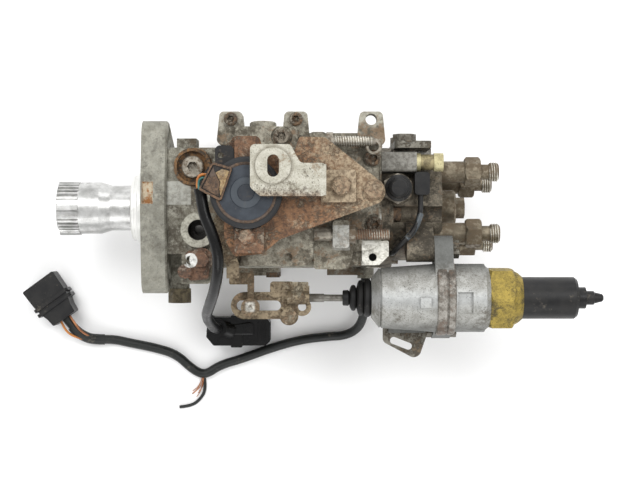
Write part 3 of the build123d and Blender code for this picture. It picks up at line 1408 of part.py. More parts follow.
save("yoke", yoke, yoke_bolt)

bellows_start_x = 127.7
bellows_end_x = 145.7
actuator_start_x = foot_end_x
rod_disc_x = 172.0
pull_rod = turned_x([
    (96.2, rod_thick_radius), (116.0, rod_thick_radius), (116.0, rod_thin_radius), (
        rod_disc_x, rod_thin_radius
    ),
    (rod_disc_x, 9.0), (rod_disc_x + 4, 9.0), (rod_disc_x + 4, 3.5), (rod_disc_x + 12, 3.5),
], rod_axis_y, rod_axis_z)
save("pull_rod", pull_rod)
bellows = turned_x([
    (bellows_start_x, 4.3), (
        bellows_start_x + 0.4, 4.8
    ), (bellows_start_x + 3.6, 5.0), (bellows_start_x + 4.2, 4.1),
    (bellows_start_x + 4.7, 6.2), (bellows_start_x + 5.5, 7.8), (bellows_start_x + 6.8, 8.3),
    (bellows_start_x + 8.0, 7.8), (bellows_start_x + 8.7, 6.2), (bellows_start_x + 9.3, 9.0),
    (bellows_start_x + 10.1, 10.8), (bellows_start_x + 11.3, 11.4), (bellows_start_x + 12.4, 10.8),
    (bellows_start_x + 13.0, 9.4), (bellows_start_x + 13.6, 11.2), (bellows_start_x + 14.5, 12.0),
    (bellows_start_x + 16.2, 12.1), (bellows_start_x + 17.4, 11.4), (bellows_end_x, 10.4),
], rod_axis_y, rod_axis_z)
bellows -= rod_x(
    bellows_start_x - 1, bellows_end_x + 1, rod_thin_radius + running_gap, rod_axis_y, rod_axis_z
)
save("bellows", bellows)

# Cold-start actuator: cast body with its flange, steel cylinder with a second flange,
# brass nut and the black wax element with its terminal
actuator_flange = 6.6
cylinder_flange = 5.0
cylinder_start_x = actuator_start_x + actuator_flange
cylinder_end_x = 217.6
nut_start_x = 219.5
nut_hex_end_x = 234.7
nut_end_x = 240.4
nut_across_flats = 36.0
element_radius = 13.2
element_end_x = 275.7
lower_lug_y, lower_lug_z = -78.0, 21.6
actuator_radius = 21.5
stroke = 6.0
flange_circles = [
    ((rod_axis_y, rod_axis_z), 21.0), ((foot_y, foot_z), 8.6), ((lower_lug_y, lower_lug_z), 6.4),
]
actuator_body = joined([
    turned_x([
        (bellows_end_x, 12.6), (
            bellows_end_x + 5.0, 18.8
        ), (bellows_end_x + 5.6, 18.0), (bellows_end_x + 6.4, 19.0),
        (actuator_start_x, actuator_radius), (cylinder_start_x, actuator_radius),
    ], rod_axis_y, rod_axis_z),
    extrude(Plane.YZ.offset(actuator_start_x) * circle_hull(flange_circles), actuator_flange),
    plate_x([(-64.7, 50.0), (-55.0, 50.0), (-56.5, 66.0), (-63.0, 66.0)], 175.4, 182.0),
    block(157.0, 180.0, -80.0, -66.0, 31.0, 37.0),
])
body_cavity_radius = 15.0
actuator_body -= rod_x(bellows_end_x - 1, bellows_end_x + 8, 4.2, rod_axis_y, rod_axis_z)
actuator_body -= rod_x(bellows_end_x + 7, cylinder_start_x + 1, body_cavity_radius, rod_axis_y, rod_axis_z)
actuator_cylinder = joined([
    rod_x(cylinder_start_x, cylinder_end_x - 1.0, actuator_radius, rod_axis_y, rod_axis_z),
    turned_x(
        [
            (cylinder_end_x - 1.5, actuator_radius), (cylinder_end_x, actuator_radius - 1.5),
            (nut_start_x, 18.5)
        ],
        rod_axis_y, rod_axis_z
    ),
    extrude(Plane.YZ.offset(cylinder_start_x) * circle_hull(flange_circles), cylinder_flange),
])
nut_shank_radius = 14.0
actuator_cylinder -= rod_x(
    cylinder_start_x - 1, nut_start_x + 1, nut_shank_radius + seat_gap, rod_axis_y, rod_axis_z
)
actuator_cylinder -= block(
    198.7, 208.1, -66.5, -53.3, rod_axis_z + actuator_radius - 3.0, rod_axis_z + actuator_radius + 2
)

thermo_nut = joined([
    rod_x(cylinder_end_x - 12, nut_start_x + 1, nut_shank_radius, rod_axis_y, rod_axis_z),
    hexagon_x(nut_start_x, nut_hex_end_x, nut_across_flats, rod_axis_y, rod_axis_z, 34.0) & turned_x([
        (nut_start_x, 18.6), (nut_start_x + 1.8, 21.0), (nut_hex_end_x - 1.8, 21.0), (nut_hex_end_x, 18.6),
    ], rod_axis_y, rod_axis_z),
    turned_x([
        (nut_hex_end_x - 1, 17.4), (nut_hex_end_x, 17.4), (nut_end_x - 2.2, 15.6), (nut_end_x, 13.6),
    ], rod_axis_y, rod_axis_z),
])
element_stem_radius = 9.0
element_stem_x = cylinder_end_x - 8
thermo_nut -= rod_x(
    cylinder_end_x - 13, nut_end_x + 1, element_stem_radius + seat_gap, rod_axis_y, rod_axis_z
)
save("thermo_nut", thermo_nut)
thermo_element = turned_x([
    (element_stem_x, element_stem_radius), (nut_end_x, element_stem_radius), (nut_end_x, element_radius),
    (element_end_x - 2.4, element_radius), (
        element_end_x - 0.6, element_radius - 1.4
    ), (element_end_x, 8.0),
], rod_axis_y, rod_axis_z)
terminal = turned_x([
    (element_end_x, 6.8), (element_end_x + 5.0, 6.8), (element_end_x + 5.6, 4.4), (
        element_end_x + 10.2, 4.4
    ),
    (element_end_x + 10.8, 3.6), (element_end_x + 15.6, 2.4), (element_end_x + 16.4, 1.6),
], rod_axis_y, rod_axis_z)
save("thermo_element", thermo_element, terminal)

# Two long screws clamp both flanges; the upper one goes into the head's foot
actuator_screws = []
flange_screw_places = ((foot_y, foot_z), (lower_lug_y, lower_lug_z))
flanges_end_x = cylinder_start_x + cylinder_flange
for index, (screw_y, screw_place_z) in enumerate(flange_screw_places):
    actuator_body -= rod_x(
        actuator_start_x - 1, cylinder_start_x + 1, m6_radius + seat_gap, screw_y, screw_place_z
    )
    actuator_cylinder -= rod_x(
        cylinder_start_x - 1, flanges_end_x + 1, m6_radius + seat_gap, screw_y, screw_place_z
    )
    shank_start = foot_end_x - 12 if index == 0 else actuator_start_x - 5
    screw = rod_x(shank_start, flanges_end_x + 0.5, m6_radius, screw_y, screw_place_z)
    actuator_screws.append(
        screw + hexagon_x(flanges_end_x, flanges_end_x + 4.2, 10.0, screw_y, screw_place_z)
    )
head -= rod_x(foot_end_x - 12.5, foot_end_x + 1, m6_radius + seat_gap, foot_y, foot_z)
lower_nut = hexagon_x(actuator_start_x - 4.5, actuator_start_x, 10.0, lower_lug_y, lower_lug_z)
lower_nut -= rod_x(
    actuator_start_x - 6, actuator_start_x + 1, m6_radius + seat_gap, lower_lug_y, lower_lug_z
)

# Slotted steel bracket under the actuator body
bracket_top_z = 31.0
bracket_sheet = 3.0
steel_bracket = extrude(Pos(0, 0, bracket_top_z - bracket_sheet) * circle_hull([
    (
        (157.0, -72.0), 3.4
    ), ((157.0, -84.0), 3.4), ((173.3, -91.1), 4.8), ((180.5, -76.0), 3.0), ((180.5, -70.0), 3.0),
]), bracket_sheet)
steel_bracket -= extrude(Pos(0, 0, bracket_top_z - bracket_sheet - 1) * circle_hull([
    ((160.5, -85.3), 2.3), ((170.0, -89.0), 2.3),
]), bracket_sheet + 2)
steel_bracket -= rod_x(
    bellows_end_x, actuator_start_x + 1, actuator_radius + free_gap, rod_axis_y, rod_axis_z
)
bracket_screw_places_below = ((163.0, -77.0), (174.5, -77.0))
for screw_x, screw_y in bracket_screw_places_below:
    steel_bracket -= rod_z(
        bracket_top_z - bracket_sheet - 1, bracket_top_z + 1, 2.5 + seat_gap, screw_x, screw_y
    )
    actuator_body -= rod_z(bracket_top_z - 1, bracket_top_z + 5.5, 2.5 + seat_gap, screw_x, screw_y)
    seat_z = bracket_top_z - bracket_sheet
    shank = rod_z(seat_z - 0.5, bracket_top_z + 5, 2.5, screw_x, screw_y)
    actuator_screws.append(shank + hexagon_z(seat_z - 3.5, seat_z, 8.0, screw_x, screw_y))
save("actuator_bracket", steel_bracket, lower_nut, *actuator_screws)
save("actuator_body", actuator_body)
save("actuator_cylinder", actuator_cylinder)


def cord_tube(name, points, radius):
    """A cord as straight runs joined by tangent arcs; prints each arc's radius in diameters."""
    places = [Vector(*point) for point in points]
    radii = []
    for before, corner, after in zip(places, places[1:], places[2:]):
        incoming = corner - before
        outgoing = after - corner
        half_turn = math.radians(incoming.get_angle(outgoing)) / 2
        shorter = min(incoming.length, outgoing.length)
        radii.append(0.45 * shorter / math.tan(half_turn))
    path = FilletPolyline(*points, radius=radii)
    section = Plane(origin=path @ 0, z_dir=path % 0) * Circle(radius)
    tube = sweep(section, path=path)
    share = tube.volume / (math.pi * radius ** 2 * path.length)
    smallest = min(radii) / (2 * radius)
    print(
        f"{name}: length {path.length:.1f}, smallest bend {smallest:.1f} diameters, volume share {share:.4f}"
    )
    return tube


# Sensor lead: from the connector box over the lever and down to the plug on the ground
sensor_lead_points = [
    (
        cable_exit_x, cable_exit_y, cable_exit_z
    ), (43.4, -4.0, 90.5), (48.2, -15.0, 89.5), (52.3, -28.0, 86.5),
    (51.9, -40.0, 80.0), (48.4, -52.5, 63.0), (43.6, -63.0, 42.0), (40.0, -69.5, 20.0), (40.5, -75.8, -2.0),
    (43.5, -81.5, -22.0), (43.5, -81.5, -40.0),
]
sensor_lead = cord_tube("sensor_cable", sensor_lead_points, cable_radius)
save("sensor_cable", sensor_lead)
plug_top_z = -44.0
plug_points = [
    (36.0, -74.5), (76.5, -74.5), (79.0, -78.0), (79.0, -91.0), (76.0, -94.0), (40.0, -94.0),
    (35.0, -88.0)
]
plug_collar_radius = 6.0
sensor_plug = plate_z(plug_points, rest_z + 0.3, plug_top_z, 1.5)
sensor_plug += rod_z(
    plug_top_z - 1, sensor_lead_points[-1][2], plug_collar_radius, *sensor_lead_points[-1][:2]
)
sensor_plug += plate_z(
    [(52.0, -73.2), (60.0, -73.2), (60.0, -95.2), (52.0, -95.2)], rest_z, plug_top_z + 1.0, 1.0
)
sensor_plug -= block(66.0, 80.0, -91.0, -78.0, rest_z + 3.0, plug_top_z - 2.5)
save("sensor_plug", sensor_plug)

# Harness lead: out of a grommet low on the housing's side, down to the ground, past the
# splice and on to the three-pin plug
harness_radius = 3.15
harness_floor_z = rest_z + harness_radius
grommet_x, grommet_y, grommet_z = 144.5, -47.0, -31.0
grommet_radius = 5.6
housing += rod_y(
    grommet_y, -24.0, grommet_radius, grommet_x, grommet_z
) - rod_x(100, housing_end + 2, barrel_radius - 6)
harness_plug_x, harness_plug_y, harness_plug_z = -63.0, -75.4, -52.0
harness_points = [
    (grommet_x, grommet_y, grommet_z), (144.5, -60.0, -31.0), (143.8, -73.0, -42.0), (140.0, -83.0, -54.0),
    (131.0, -88.0, harness_floor_z),
    (119.0, -88.6, harness_floor_z), (99.0, -91.0, harness_floor_z), (79.0, -96.8, harness_floor_z),
    (59.0, -104.2, harness_floor_z), (43.5, -108.6, harness_floor_z), (33.0, -115.8, harness_floor_z),
    (24.0, -111.5, harness_floor_z), (13.0, -101.0, harness_floor_z), (-2.0, -96.5, harness_floor_z),
    (-19.0, -93.2, harness_floor_z), (-31.0, -90.5, harness_floor_z), (-45.0, -90.8, -57.0),
    (-56.534, -84.299, harness_plug_z), (harness_plug_x, harness_plug_y, harness_plug_z),
]
harness_lead = cord_tube("harness_cable", harness_points, harness_radius)
save("harness_cable", harness_lead)

plug_half_height = 9.8
harness_plug_angle = 126.0
plug_profile = [(0.0, 9.0), (6.0, 9.6), (12.0, 11.5), (19.0, 12.4), (31.5, 12.8)]
plug_outline = [(x, -y) for x, y in plug_profile] + [(x, y) for x, y in reversed(plug_profile)]
harness_plug = plate_z(plug_outline, -8.6, 8.6, 1.2)
for collar_x in (10.5, 14.5):
    harness_plug += extrude(
        Plane.YZ.offset(collar_x) * RectangleRounded(28.0, 2 * plug_half_height, 3.0), 2.2
    )
harness_plug -= block(20.0, 33.0, -10.6, 10.6, -6.4, 6.4)
plug_pins = [block(19.5, 28.5, y - 1.2, y + 1.2, -0.4, 0.4) for y in (-6.5, 0.0, 6.5)]
plug_place = Pos(harness_plug_x, harness_plug_y, harness_plug_z) * Rot(0, 0, harness_plug_angle)
harness_plug = joined([harness_plug] + plug_pins)
save("harness_plug", plug_place * harness_plug)

# Two loose wire ends at the splice
wire_radius = 1.1
wire_floor_z = rest_z + wire_radius
loose_points = [
    (32.4, -118.1, wire_floor_z), (33.6, -126.0, wire_floor_z), (29.0, -133.5, wire_floor_z),
    (22.5, -137.6, wire_floor_z), (15.0, -138.2, wire_floor_z)
]
save("loose_wires", cord_tube("loose_wires", loose_points, wire_radius))

# Solenoid lead: from the terminal block over the actuator foot to a stud on the head
solenoid_wire_radius = 1.7
stud_x, stud_y, stud_top_z = 159.2, -29.5, 31.0
head += rod_z(12, stud_top_z, 3.0, stud_x, stud_y) - rod_x(130, 190, head_body_radius - 4)
solenoid_points = [
    (177.0, 7.4, 41.0), (177.0, -3.0, 41.0), (173.5, -14.0, 49.0), (164.5, -23.5, 51.0),
    (stud_x, stud_y, 41.0), (stud_x, stud_y, stud_top_z),
]
save("solenoid_wire", cord_tube("solenoid_wire", solenoid_points, solenoid_wire_radius))

save("pump_housing", housing)
save("distributor_head", head)
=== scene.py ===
import math
import random

import bmesh
import bpy
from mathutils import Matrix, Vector


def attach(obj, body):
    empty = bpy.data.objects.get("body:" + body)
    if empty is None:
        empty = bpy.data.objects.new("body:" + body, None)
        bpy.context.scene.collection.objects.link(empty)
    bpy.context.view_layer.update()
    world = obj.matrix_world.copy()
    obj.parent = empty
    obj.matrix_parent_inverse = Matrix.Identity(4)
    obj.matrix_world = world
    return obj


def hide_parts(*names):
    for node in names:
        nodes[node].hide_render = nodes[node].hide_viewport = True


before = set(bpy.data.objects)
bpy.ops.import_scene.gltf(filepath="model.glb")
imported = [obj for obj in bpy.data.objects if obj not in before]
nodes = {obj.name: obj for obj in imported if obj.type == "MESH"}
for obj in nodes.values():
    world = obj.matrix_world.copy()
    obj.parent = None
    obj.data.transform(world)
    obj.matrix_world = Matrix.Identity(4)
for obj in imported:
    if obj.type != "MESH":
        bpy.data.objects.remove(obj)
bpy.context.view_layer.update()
MM = 0.001


# Camera: a plain lens straight above the pump, a metre away, as the photograph was taken.
# It looks down the part's Z axis, so it needs no turn.
CAMERA_PLACE = (113.5 * MM, -21.1 * MM, 957.0 * MM)
camera_data = bpy.data.cameras.new("camera")
camera_data.lens = 81.6
camera_data.sensor_width = 36.0
camera_data.clip_start = 0.01
camera = bpy.data.objects.new("camera", camera_data)
camera.location = CAMERA_PLACE
bpy.context.collection.objects.link(camera)
bpy.context.scene.camera = camera


# Floor: a wide sheet of pale paper under the pump, just below its lowest face. Its tone
# wanders a little, as paper's does.
FLOOR_Z = -62.0
PAPER_GREY = (0.88, 0.88, 0.88)
PAPER_PALE = (0.90, 0.90, 0.90)


class Wave:
    """A socket of one material's node tree; arithmetic on it adds Math nodes."""

    def __init__(self, paint, socket):
        self.paint = paint
        self.socket = socket

    def math(self, operation, *others):
        inputs = dict(enumerate((self, *others)))
        return self.paint.node("ShaderNodeMath", {"operation": operation}, inputs)

    def __add__(self, other):
        return self.math("ADD", other)

    def __radd__(self, other):
        return self.math("ADD", other)

    def __sub__(self, other):
        return self.math("SUBTRACT", other)

    def __rsub__(self, other):
        return self.paint.node("ShaderNodeMath", {"operation": "SUBTRACT"}, {0: other, 1: self})

    def __mul__(self, other):
        return self.math("MULTIPLY", other)

    def __rmul__(self, other):
        return self.math("MULTIPLY", other)

    def between(self, low, high):
        """0 below low, 1 above high, smooth in between."""
        settings = {"interpolation_type": "SMOOTHSTEP", "clamp": True}
        return self.paint.node("ShaderNodeMapRange", settings, {0: self, 1: low, 2: high, 3: 0.0, 4: 1.0})


class Paint:
    """One procedural material and the node tree that makes it."""

    def __init__(self, name, metallic=0.0, roughness=0.5, **constants):
        self.material = bpy.data.materials.new(name)
        self.material.use_nodes = True
        self.tree = self.material.node_tree
        self.tree.nodes.clear()
        output = self.tree.nodes.new("ShaderNodeOutputMaterial")
        self.shader = self.tree.nodes.new("ShaderNodeBsdfPrincipled")
        self.tree.links.new(self.shader.outputs[0], output.inputs[0])
        self.shader.inputs["Metallic"].default_value = metallic
        self.shader.inputs["Roughness"].default_value = roughness
        for key, value in constants.items():
            self.shader.inputs[key.replace("_", " ")].default_value = value
        place = self.tree.nodes.new("ShaderNodeTexCoord")
        self.place = Wave(self, place.outputs["Object"])
        self.last_bump = None

    def node(self, kind, settings, inputs, output=0):
        made = self.tree.nodes.new(kind)
        for key, value in settings.items():
            setattr(made, key, value)
        for key, value in inputs.items():
            if isinstance(value, Wave):
                self.tree.links.new(value.socket, made.inputs[key])
            else:
                made.inputs[key].default_value = value
        return Wave(self, made.outputs[output])

    def stretched(self, x, y, z):
        """The place, scaled along each axis."""
        return self.node("ShaderNodeVectorMath", {"operation": "MULTIPLY"}, {0: self.place, 1: (x, y, z)})

    def noise(self, scale, detail=5.0, rough=0.6, place=None, warp=0.0):
        inputs = {"Vector": place or self.place, "Scale": scale, "Detail": detail}
        inputs.update({"Roughness": rough, "Distortion": warp})
        return self.node("ShaderNodeTexNoise", {}, inputs)

    def cells(self, scale):
        """How far a place is from the nearest of some scattered points."""
        inputs = {"Vector": self.place, "Scale": scale}
        return self.node("ShaderNodeTexVoronoi", {}, inputs, "Distance")

    def axis(self, name):
        return self.node("ShaderNodeSeparateXYZ", {}, {0: self.place}, name)

    def facing(self, name):
        """How far the surface faces along one axis of the part."""
        geometry = self.tree.nodes.new("ShaderNodeNewGeometry")
        return self.node("ShaderNodeSeparateXYZ", {}, {0: Wave(self, geometry.outputs["Normal"])}, name)

    def blend(self, factor, first, second):
        """Two colours mixed by a mask; a colour is a tuple or another blend."""
        made = self.tree.nodes.new("ShaderNodeMix")
        made.data_type = "RGBA"
        self.tree.links.new(factor.socket, made.inputs[0])
        for index, value in ((6, first), (7, second)):
            if isinstance(value, Wave):
                self.tree.links.new(value.socket, made.inputs[index])
            else:
                made.inputs[index].default_value = (*value, 1.0)
        return Wave(self, made.outputs[2])

    def feed(self, colour, rough=None, metallic=None):
        fed = {"Base Color": colour, "Roughness": rough, "Metallic": metallic}
        for name, value in fed.items():
            if value is not None:
                self.tree.links.new(value.socket, self.shader.inputs[name])

    def bump(self, height, distance, strength=1.0):
        """Relief of a given depth in millimetres, laid over any relief fed before."""
        inputs = {"Height": height, "Distance": distance * MM, "Strength": strength}
        if self.last_bump is not None:
            inputs["Normal"] = self.last_bump
        self.last_bump = self.node("ShaderNodeBump", {}, inputs)
        self.tree.links.new(self.last_bump.socket, self.shader.inputs["Normal"])


def flat_sheet(name, half, z, material):
    """A square sheet that lies level, its half width and height in millimetres."""
    mesh = bpy.data.meshes.new(name)
    corners = [(-half, -half), (half, -half), (half, half), (-half, half)]
    mesh.from_pydata([(x * MM, y * MM, z * MM) for x, y in corners], [], [(0, 1, 2, 3)])
    mesh.materials.append(material)
    sheet = bpy.data.objects.new(name, mesh)
    bpy.context.collection.objects.link(sheet)
    return sheet


floor_paint = Paint("floor_paper", 0.0, 0.9)
floor_tone = floor_paint.noise(3.0, 2, 0.5).between(0.2, 0.8)
floor_paint.feed(floor_paint.blend(floor_tone, PAPER_GREY, PAPER_PALE))
flat_sheet("floor", 3000.0, FLOOR_Z - 0.05, floor_paint.material)


# Studio light: a white room all round and four soft boxes, the strongest above the pump's
# far left. Places are in metres and each lamp looks at the middle of the pump.
ROOM_WHITE = (1.0, 1.0, 1.0, 1.0)
ROOM_STRENGTH = 0.85
PUMP_MIDDLE = Vector((0.11, 0.0, 0.0))


def soft_box(name, place, size, energy):
    data = bpy.data.lights.new(name, "AREA")
    data.size = size
    data.energy = energy
    lamp = bpy.data.objects.new(name, data)
    lamp.location = place
    lamp.rotation_euler = (PUMP_MIDDLE - lamp.location).to_track_quat("-Z", "Y").to_euler()
    bpy.context.collection.objects.link(lamp)


world = bpy.data.worlds.new("studio")
world.use_nodes = True
world.node_tree.nodes["Background"].inputs["Color"].default_value = ROOM_WHITE
world.node_tree.nodes["Background"].inputs["Strength"].default_value = ROOM_STRENGTH
bpy.context.scene.world = world
bpy.context.scene.view_settings.view_transform = "Standard"
soft_box("lamp_top_left", (-0.45, 0.55, 1.25), 0.6, 8.5)
soft_box("lamp_top_right", (0.75, 0.35, 1.15), 0.5, 6.5)
soft_box("lamp_front", (0.1, -1.1, 0.7), 0.6, 4.5)
soft_box("lamp_back", (0.2, 1.3, 0.6), 0.5, 4.0)


# Pump housing: one die cast aluminium body, machined at its faces. The nose and pilot in
# front of the flange are clean bright metal, and the rest is grey under years of oily dirt.
DIRT = (0.055, 0.044, 0.029)
REGULATOR = (33.0, 25.2)
REGULATOR_WELL = 12.4
INLET = (36.3, -14.7)
INLET_BORE = 6.5
INLET_RIM = 11.1
PALE_PAD = (16.5, 31.8, 1.2, 16.3)
RESIN_PATCH = (1.0, 8.0, 1.8, 15.7)


def casting(name, light, dark, grime, metallic=0.5, dirt=0.46, grain=0.22, rust=None, rust_share=0.55,
            extra=None):
    """Sand or die cast metal, weathered: mottled, pitted, with oily grime and maybe rust.

    extra takes the paint, the colour and the roughness, and gives back both with local marks.
    """
    paint = Paint(name, metallic, 0.5)
    fine = paint.noise(420, 5, 0.72)
    mottle = paint.noise(170, 9, 0.74).between(0.37, 0.63)
    broad = paint.noise(40, 8, 0.7, warp=0.4) * 0.68 + fine * 0.32
    clean = broad.between(dirt - 0.05, dirt + 0.045)
    specks = paint.noise(1150, 2, 0.5).between(0.57, 0.66)
    pits = 1.0 - paint.cells(620).between(0.13, 0.24)
    pitted = pits * paint.noise(70, 4, 0.6).between(0.5, 0.62)
    colour = paint.blend(mottle, dark, light)
    colour = paint.blend(specks * 0.5, colour, grime)
    colour = paint.blend((1.0 - clean) * 0.82, colour, grime)
    metal = (clean * 0.6 + 0.4) * metallic
    if rust is not None:
        spread = paint.noise(58, 9, 0.74, warp=0.5) * 0.7 + fine * 0.3
        rusty = spread.between(rust_share - 0.02, rust_share + 0.04)
        colour = paint.blend(rusty * 0.85, colour, rust)
        metal = metal * (1.0 - rusty * 0.9)
    colour = paint.blend(pitted * 0.75, colour, tuple(channel * 0.4 for channel in grime))
    rough = 0.74 - clean * 0.22 + fine * 0.14
    if extra is not None:
        colour, rough = extra(paint, colour, rough)
    paint.feed(colour, rough, metal)
    paint.bump(paint.noise(900, 3, 0.6) - pitted * 0.9, grain)
    paint.bump(paint.noise(170, 6, 0.65), 0.7, 0.6)
    return paint.material


def disc(paint, x, y, radius, soft=0.4):
    """1 inside a circle seen from above, in millimetres, and 0 outside it."""
    across = paint.axis("X") - x * MM
    along = paint.axis("Y") - y * MM
    away = (across * across + along * along).math("SQRT")
    return 1.0 - away.between((radius - soft) * MM, (radius + soft) * MM)


def beyond(paint, axis, low, high):
    """0 below one place on an axis, in millimetres, and 1 above another."""
    return paint.axis(axis).between(low * MM, high * MM)


def span(paint, axis, low, high, soft):
    """1 between two places on an axis, in millimetres, and 0 outside them."""
    return beyond(paint, axis, low - soft, low + soft) - beyond(paint, axis, high - soft, high + soft)


def zone(paint, x0, x1, y0, y1, soft=0.5):
    """1 inside a rectangle seen from above, in millimetres, and 0 outside it."""
    return span(paint, "X", x0, x1, soft) * span(paint, "Y", y0, y1, soft)


def dress(material, *names, edge=0.4, segments=2):
    """A CAD node's own solids in a material, with their sharp edges broken, in millimetres."""
    for name in names:
        shape = nodes[name]
        shape.data.materials.clear()
        shape.data.materials.append(material)
        if edge > 0:
            bevel = shape.modifiers.new("broken_edges", "BEVEL")
            bevel.width = edge * MM
            bevel.segments = segments
            bevel.limit_method = "ANGLE"
            bevel.angle_limit = math.radians(40)
            bevel.harden_normals = False


def housing_marks(paint, colour, rough):
    """Bright nose, pale flange and pad, gunk in the regulator's well, inlet rim, painted shade in the
    inlet's bore, resin patch.
    """
    chalk = paint.noise(360, 7, 0.75).between(0.38, 0.60)
    fine = paint.noise(240, 8, 0.75)
    flange = 1.0 - beyond(paint, "X", 15.0, 17.2)
    colour = paint.blend(flange * (0.25 + chalk * 0.30), colour, (0.245, 0.245, 0.212))
    brown = (paint.noise(58, 8, 0.72) * 0.7 + fine * 0.3).between(0.52, 0.58)
    brown = brown * beyond(paint, "X", 15.0, 50.0)
    colour = paint.blend(brown * 0.7, colour, (0.125, 0.082, 0.045))
    pad = zone(paint, *PALE_PAD)
    colour = paint.blend(pad * (0.45 + chalk * 0.4), colour, (0.40, 0.40, 0.36))
    gunk = paint.blend(fine.between(0.42, 0.58), (0.045, 0.032, 0.020), (0.190, 0.098, 0.036))
    colour = paint.blend(disc(paint, *REGULATOR, REGULATOR_WELL, 0.5), colour, gunk)
    rim = disc(paint, *INLET, INLET_RIM) - disc(paint, *INLET, INLET_BORE + 0.1, 0.2)
    colour = paint.blend(rim * (0.35 + chalk * 0.65), colour, (0.46, 0.45, 0.38))
    # Painted shade: the inlet's bore is painted near black.
    colour = paint.blend(disc(paint, *INLET, INLET_BORE, 0.2), colour, (0.012, 0.010, 0.008))
    resin = zone(paint, *RESIN_PATCH, 0.2)
    resin_tone = paint.blend(fine.between(0.44, 0.56), (0.26, 0.115, 0.035), (0.42, 0.36, 0.26))
    colour = paint.blend(resin, colour, resin_tone)
    machined = 1.0 - beyond(paint, "X", -0.7, 0.2)
    tool = paint.noise(1.0, 3, 0.5, paint.stretched(1800.0, 9.0, 9.0))
    bright = paint.blend(tool.between(0.3, 0.7), (0.66, 0.66, 0.63), (0.84, 0.84, 0.82))
    colour = paint.blend(machined, colour, bright)
    return colour, rough * (1.0 - machined) + machined * 0.34


housing_metal = casting(
    "housing_casting", light=(0.31, 0.30, 0.25), dark=(0.150, 0.140, 0.108), grime=DIRT, metallic=0.40,
    dirt=0.47, grain=0.26, extra=housing_marks,
)
dress(housing_metal, "pump_housing", edge=0.7, segments=3)


# Drive shaft: hardened steel, its splines ground bright and kept so by the hub they ran in.
# It turns in the housing's bush and seal.
def turned(name, light, dark, roughness=0.28, metallic=1.0, smear=None, share=0.52):
    """Turned or ground metal, with fine tool lines round the X axis and faint smears."""
    paint = Paint(name, metallic, roughness)
    tool = paint.noise(1.0, 3, 0.5, paint.stretched(1500.0, 6.0, 6.0))
    cloud = paint.noise(110, 8, 0.7).between(0.36, 0.64)
    colour = paint.blend(cloud, dark, light)
    if smear is None:
        paint.feed(colour, roughness + tool * 0.12 + (1.0 - cloud) * 0.08)
    else:
        spread = paint.noise(80, 8, 0.72) * 0.65 + paint.noise(500, 5, 0.7) * 0.35
        mask = spread.between(share - 0.03, share + 0.05)
        colour = paint.blend(mask * 0.85, colour, smear)
        paint.feed(colour, roughness + mask * 0.35 + tool * 0.1, (1.0 - mask * 0.8) * metallic)
    paint.bump(tool, 0.04)
    return paint.material


bright_steel = turned(
    "bright_steel", light=(0.60, 0.60, 0.59), dark=(0.38, 0.38, 0.37), roughness=0.26,
    smear=(0.16, 0.15, 0.13), share=0.60,
)
dress(bright_steel, "drive_shaft", edge=0.15)


# Works inside the housing: feed pump, gears, governor, roller ring, cam plate, plunger,
# timing piston and valves, all of hardened steel that is ground and runs in clean fuel.
inner_steel = turned(
    "inner_steel", light=(0.42, 0.41, 0.39), dark=(0.28, 0.27, 0.26), roughness=0.35,
)
dress(inner_steel, "shaft_bush", "feed_pump_ring", "feed_pump_rotor", "drive_gear", "governor_cage",
      "governor_shaft", "governor_sleeve", "governor_lever", "control_sleeve", "roller_ring", "cam_plate",
      "plunger", "plunger_springs", "timer_piston", "delivery_valve_1", "delivery_valve_2",
      "delivery_valve_3", "delivery_valve_4", "regulator_piston", "solenoid_armature", edge=0)


# Rubber pieces: the shaft's lip seal, the governor cover's gasket and the bellows on the
# actuator's rod, all of black rubber with a little dust on what faces up.
def moulded(name, tone, other_tone, roughness=0.45, dust=(0.16, 0.14, 0.11), dust_share=0.58,
            grain=0.08, shine=0.5, extra=None):
    """Moulded rubber or plastic with a fine grain and some dust on what faces up."""
    paint = Paint(name, 0.0, roughness, Specular_IOR_Level=shine)
    fine = paint.noise(600, 5, 0.75)
    cloud = paint.noise(120, 6, 0.6).between(0.35, 0.65)
    dusty = (paint.noise(70, 8, 0.7) * 0.6 + fine * 0.4).between(dust_share - 0.03, dust_share + 0.07)
    dusty = dusty * paint.facing("Z").between(-0.2, 0.9)
    colour = paint.blend(dusty * 0.6, paint.blend(cloud, tone, other_tone), dust)
    rough = roughness + cloud * 0.1 + dusty * 0.3
    if extra is not None:
        colour, rough = extra(paint, colour, rough)
    paint.feed(colour, rough)
    paint.bump(paint.noise(1400, 3, 0.6), grain)
    return paint.material


rubber = moulded(
    "black_rubber", tone=(0.0045, 0.0045, 0.0045), other_tone=(0.010, 0.0095, 0.009), roughness=0.5,
    shine=0.25,
)
dress(rubber, "shaft_seal", "cover_gasket", "bellows", edge=0)


# Side bracket: pressed steel, bolted and dowelled to the housing's near side and gone to
# rust. A pin painted white stands beside it, and an olive hexagon plug closes a port.
WHITE_PIN = (31.6, -34.0)
RUST_LIGHT = (0.190, 0.102, 0.056)
RUST_DARK = (0.072, 0.040, 0.024)


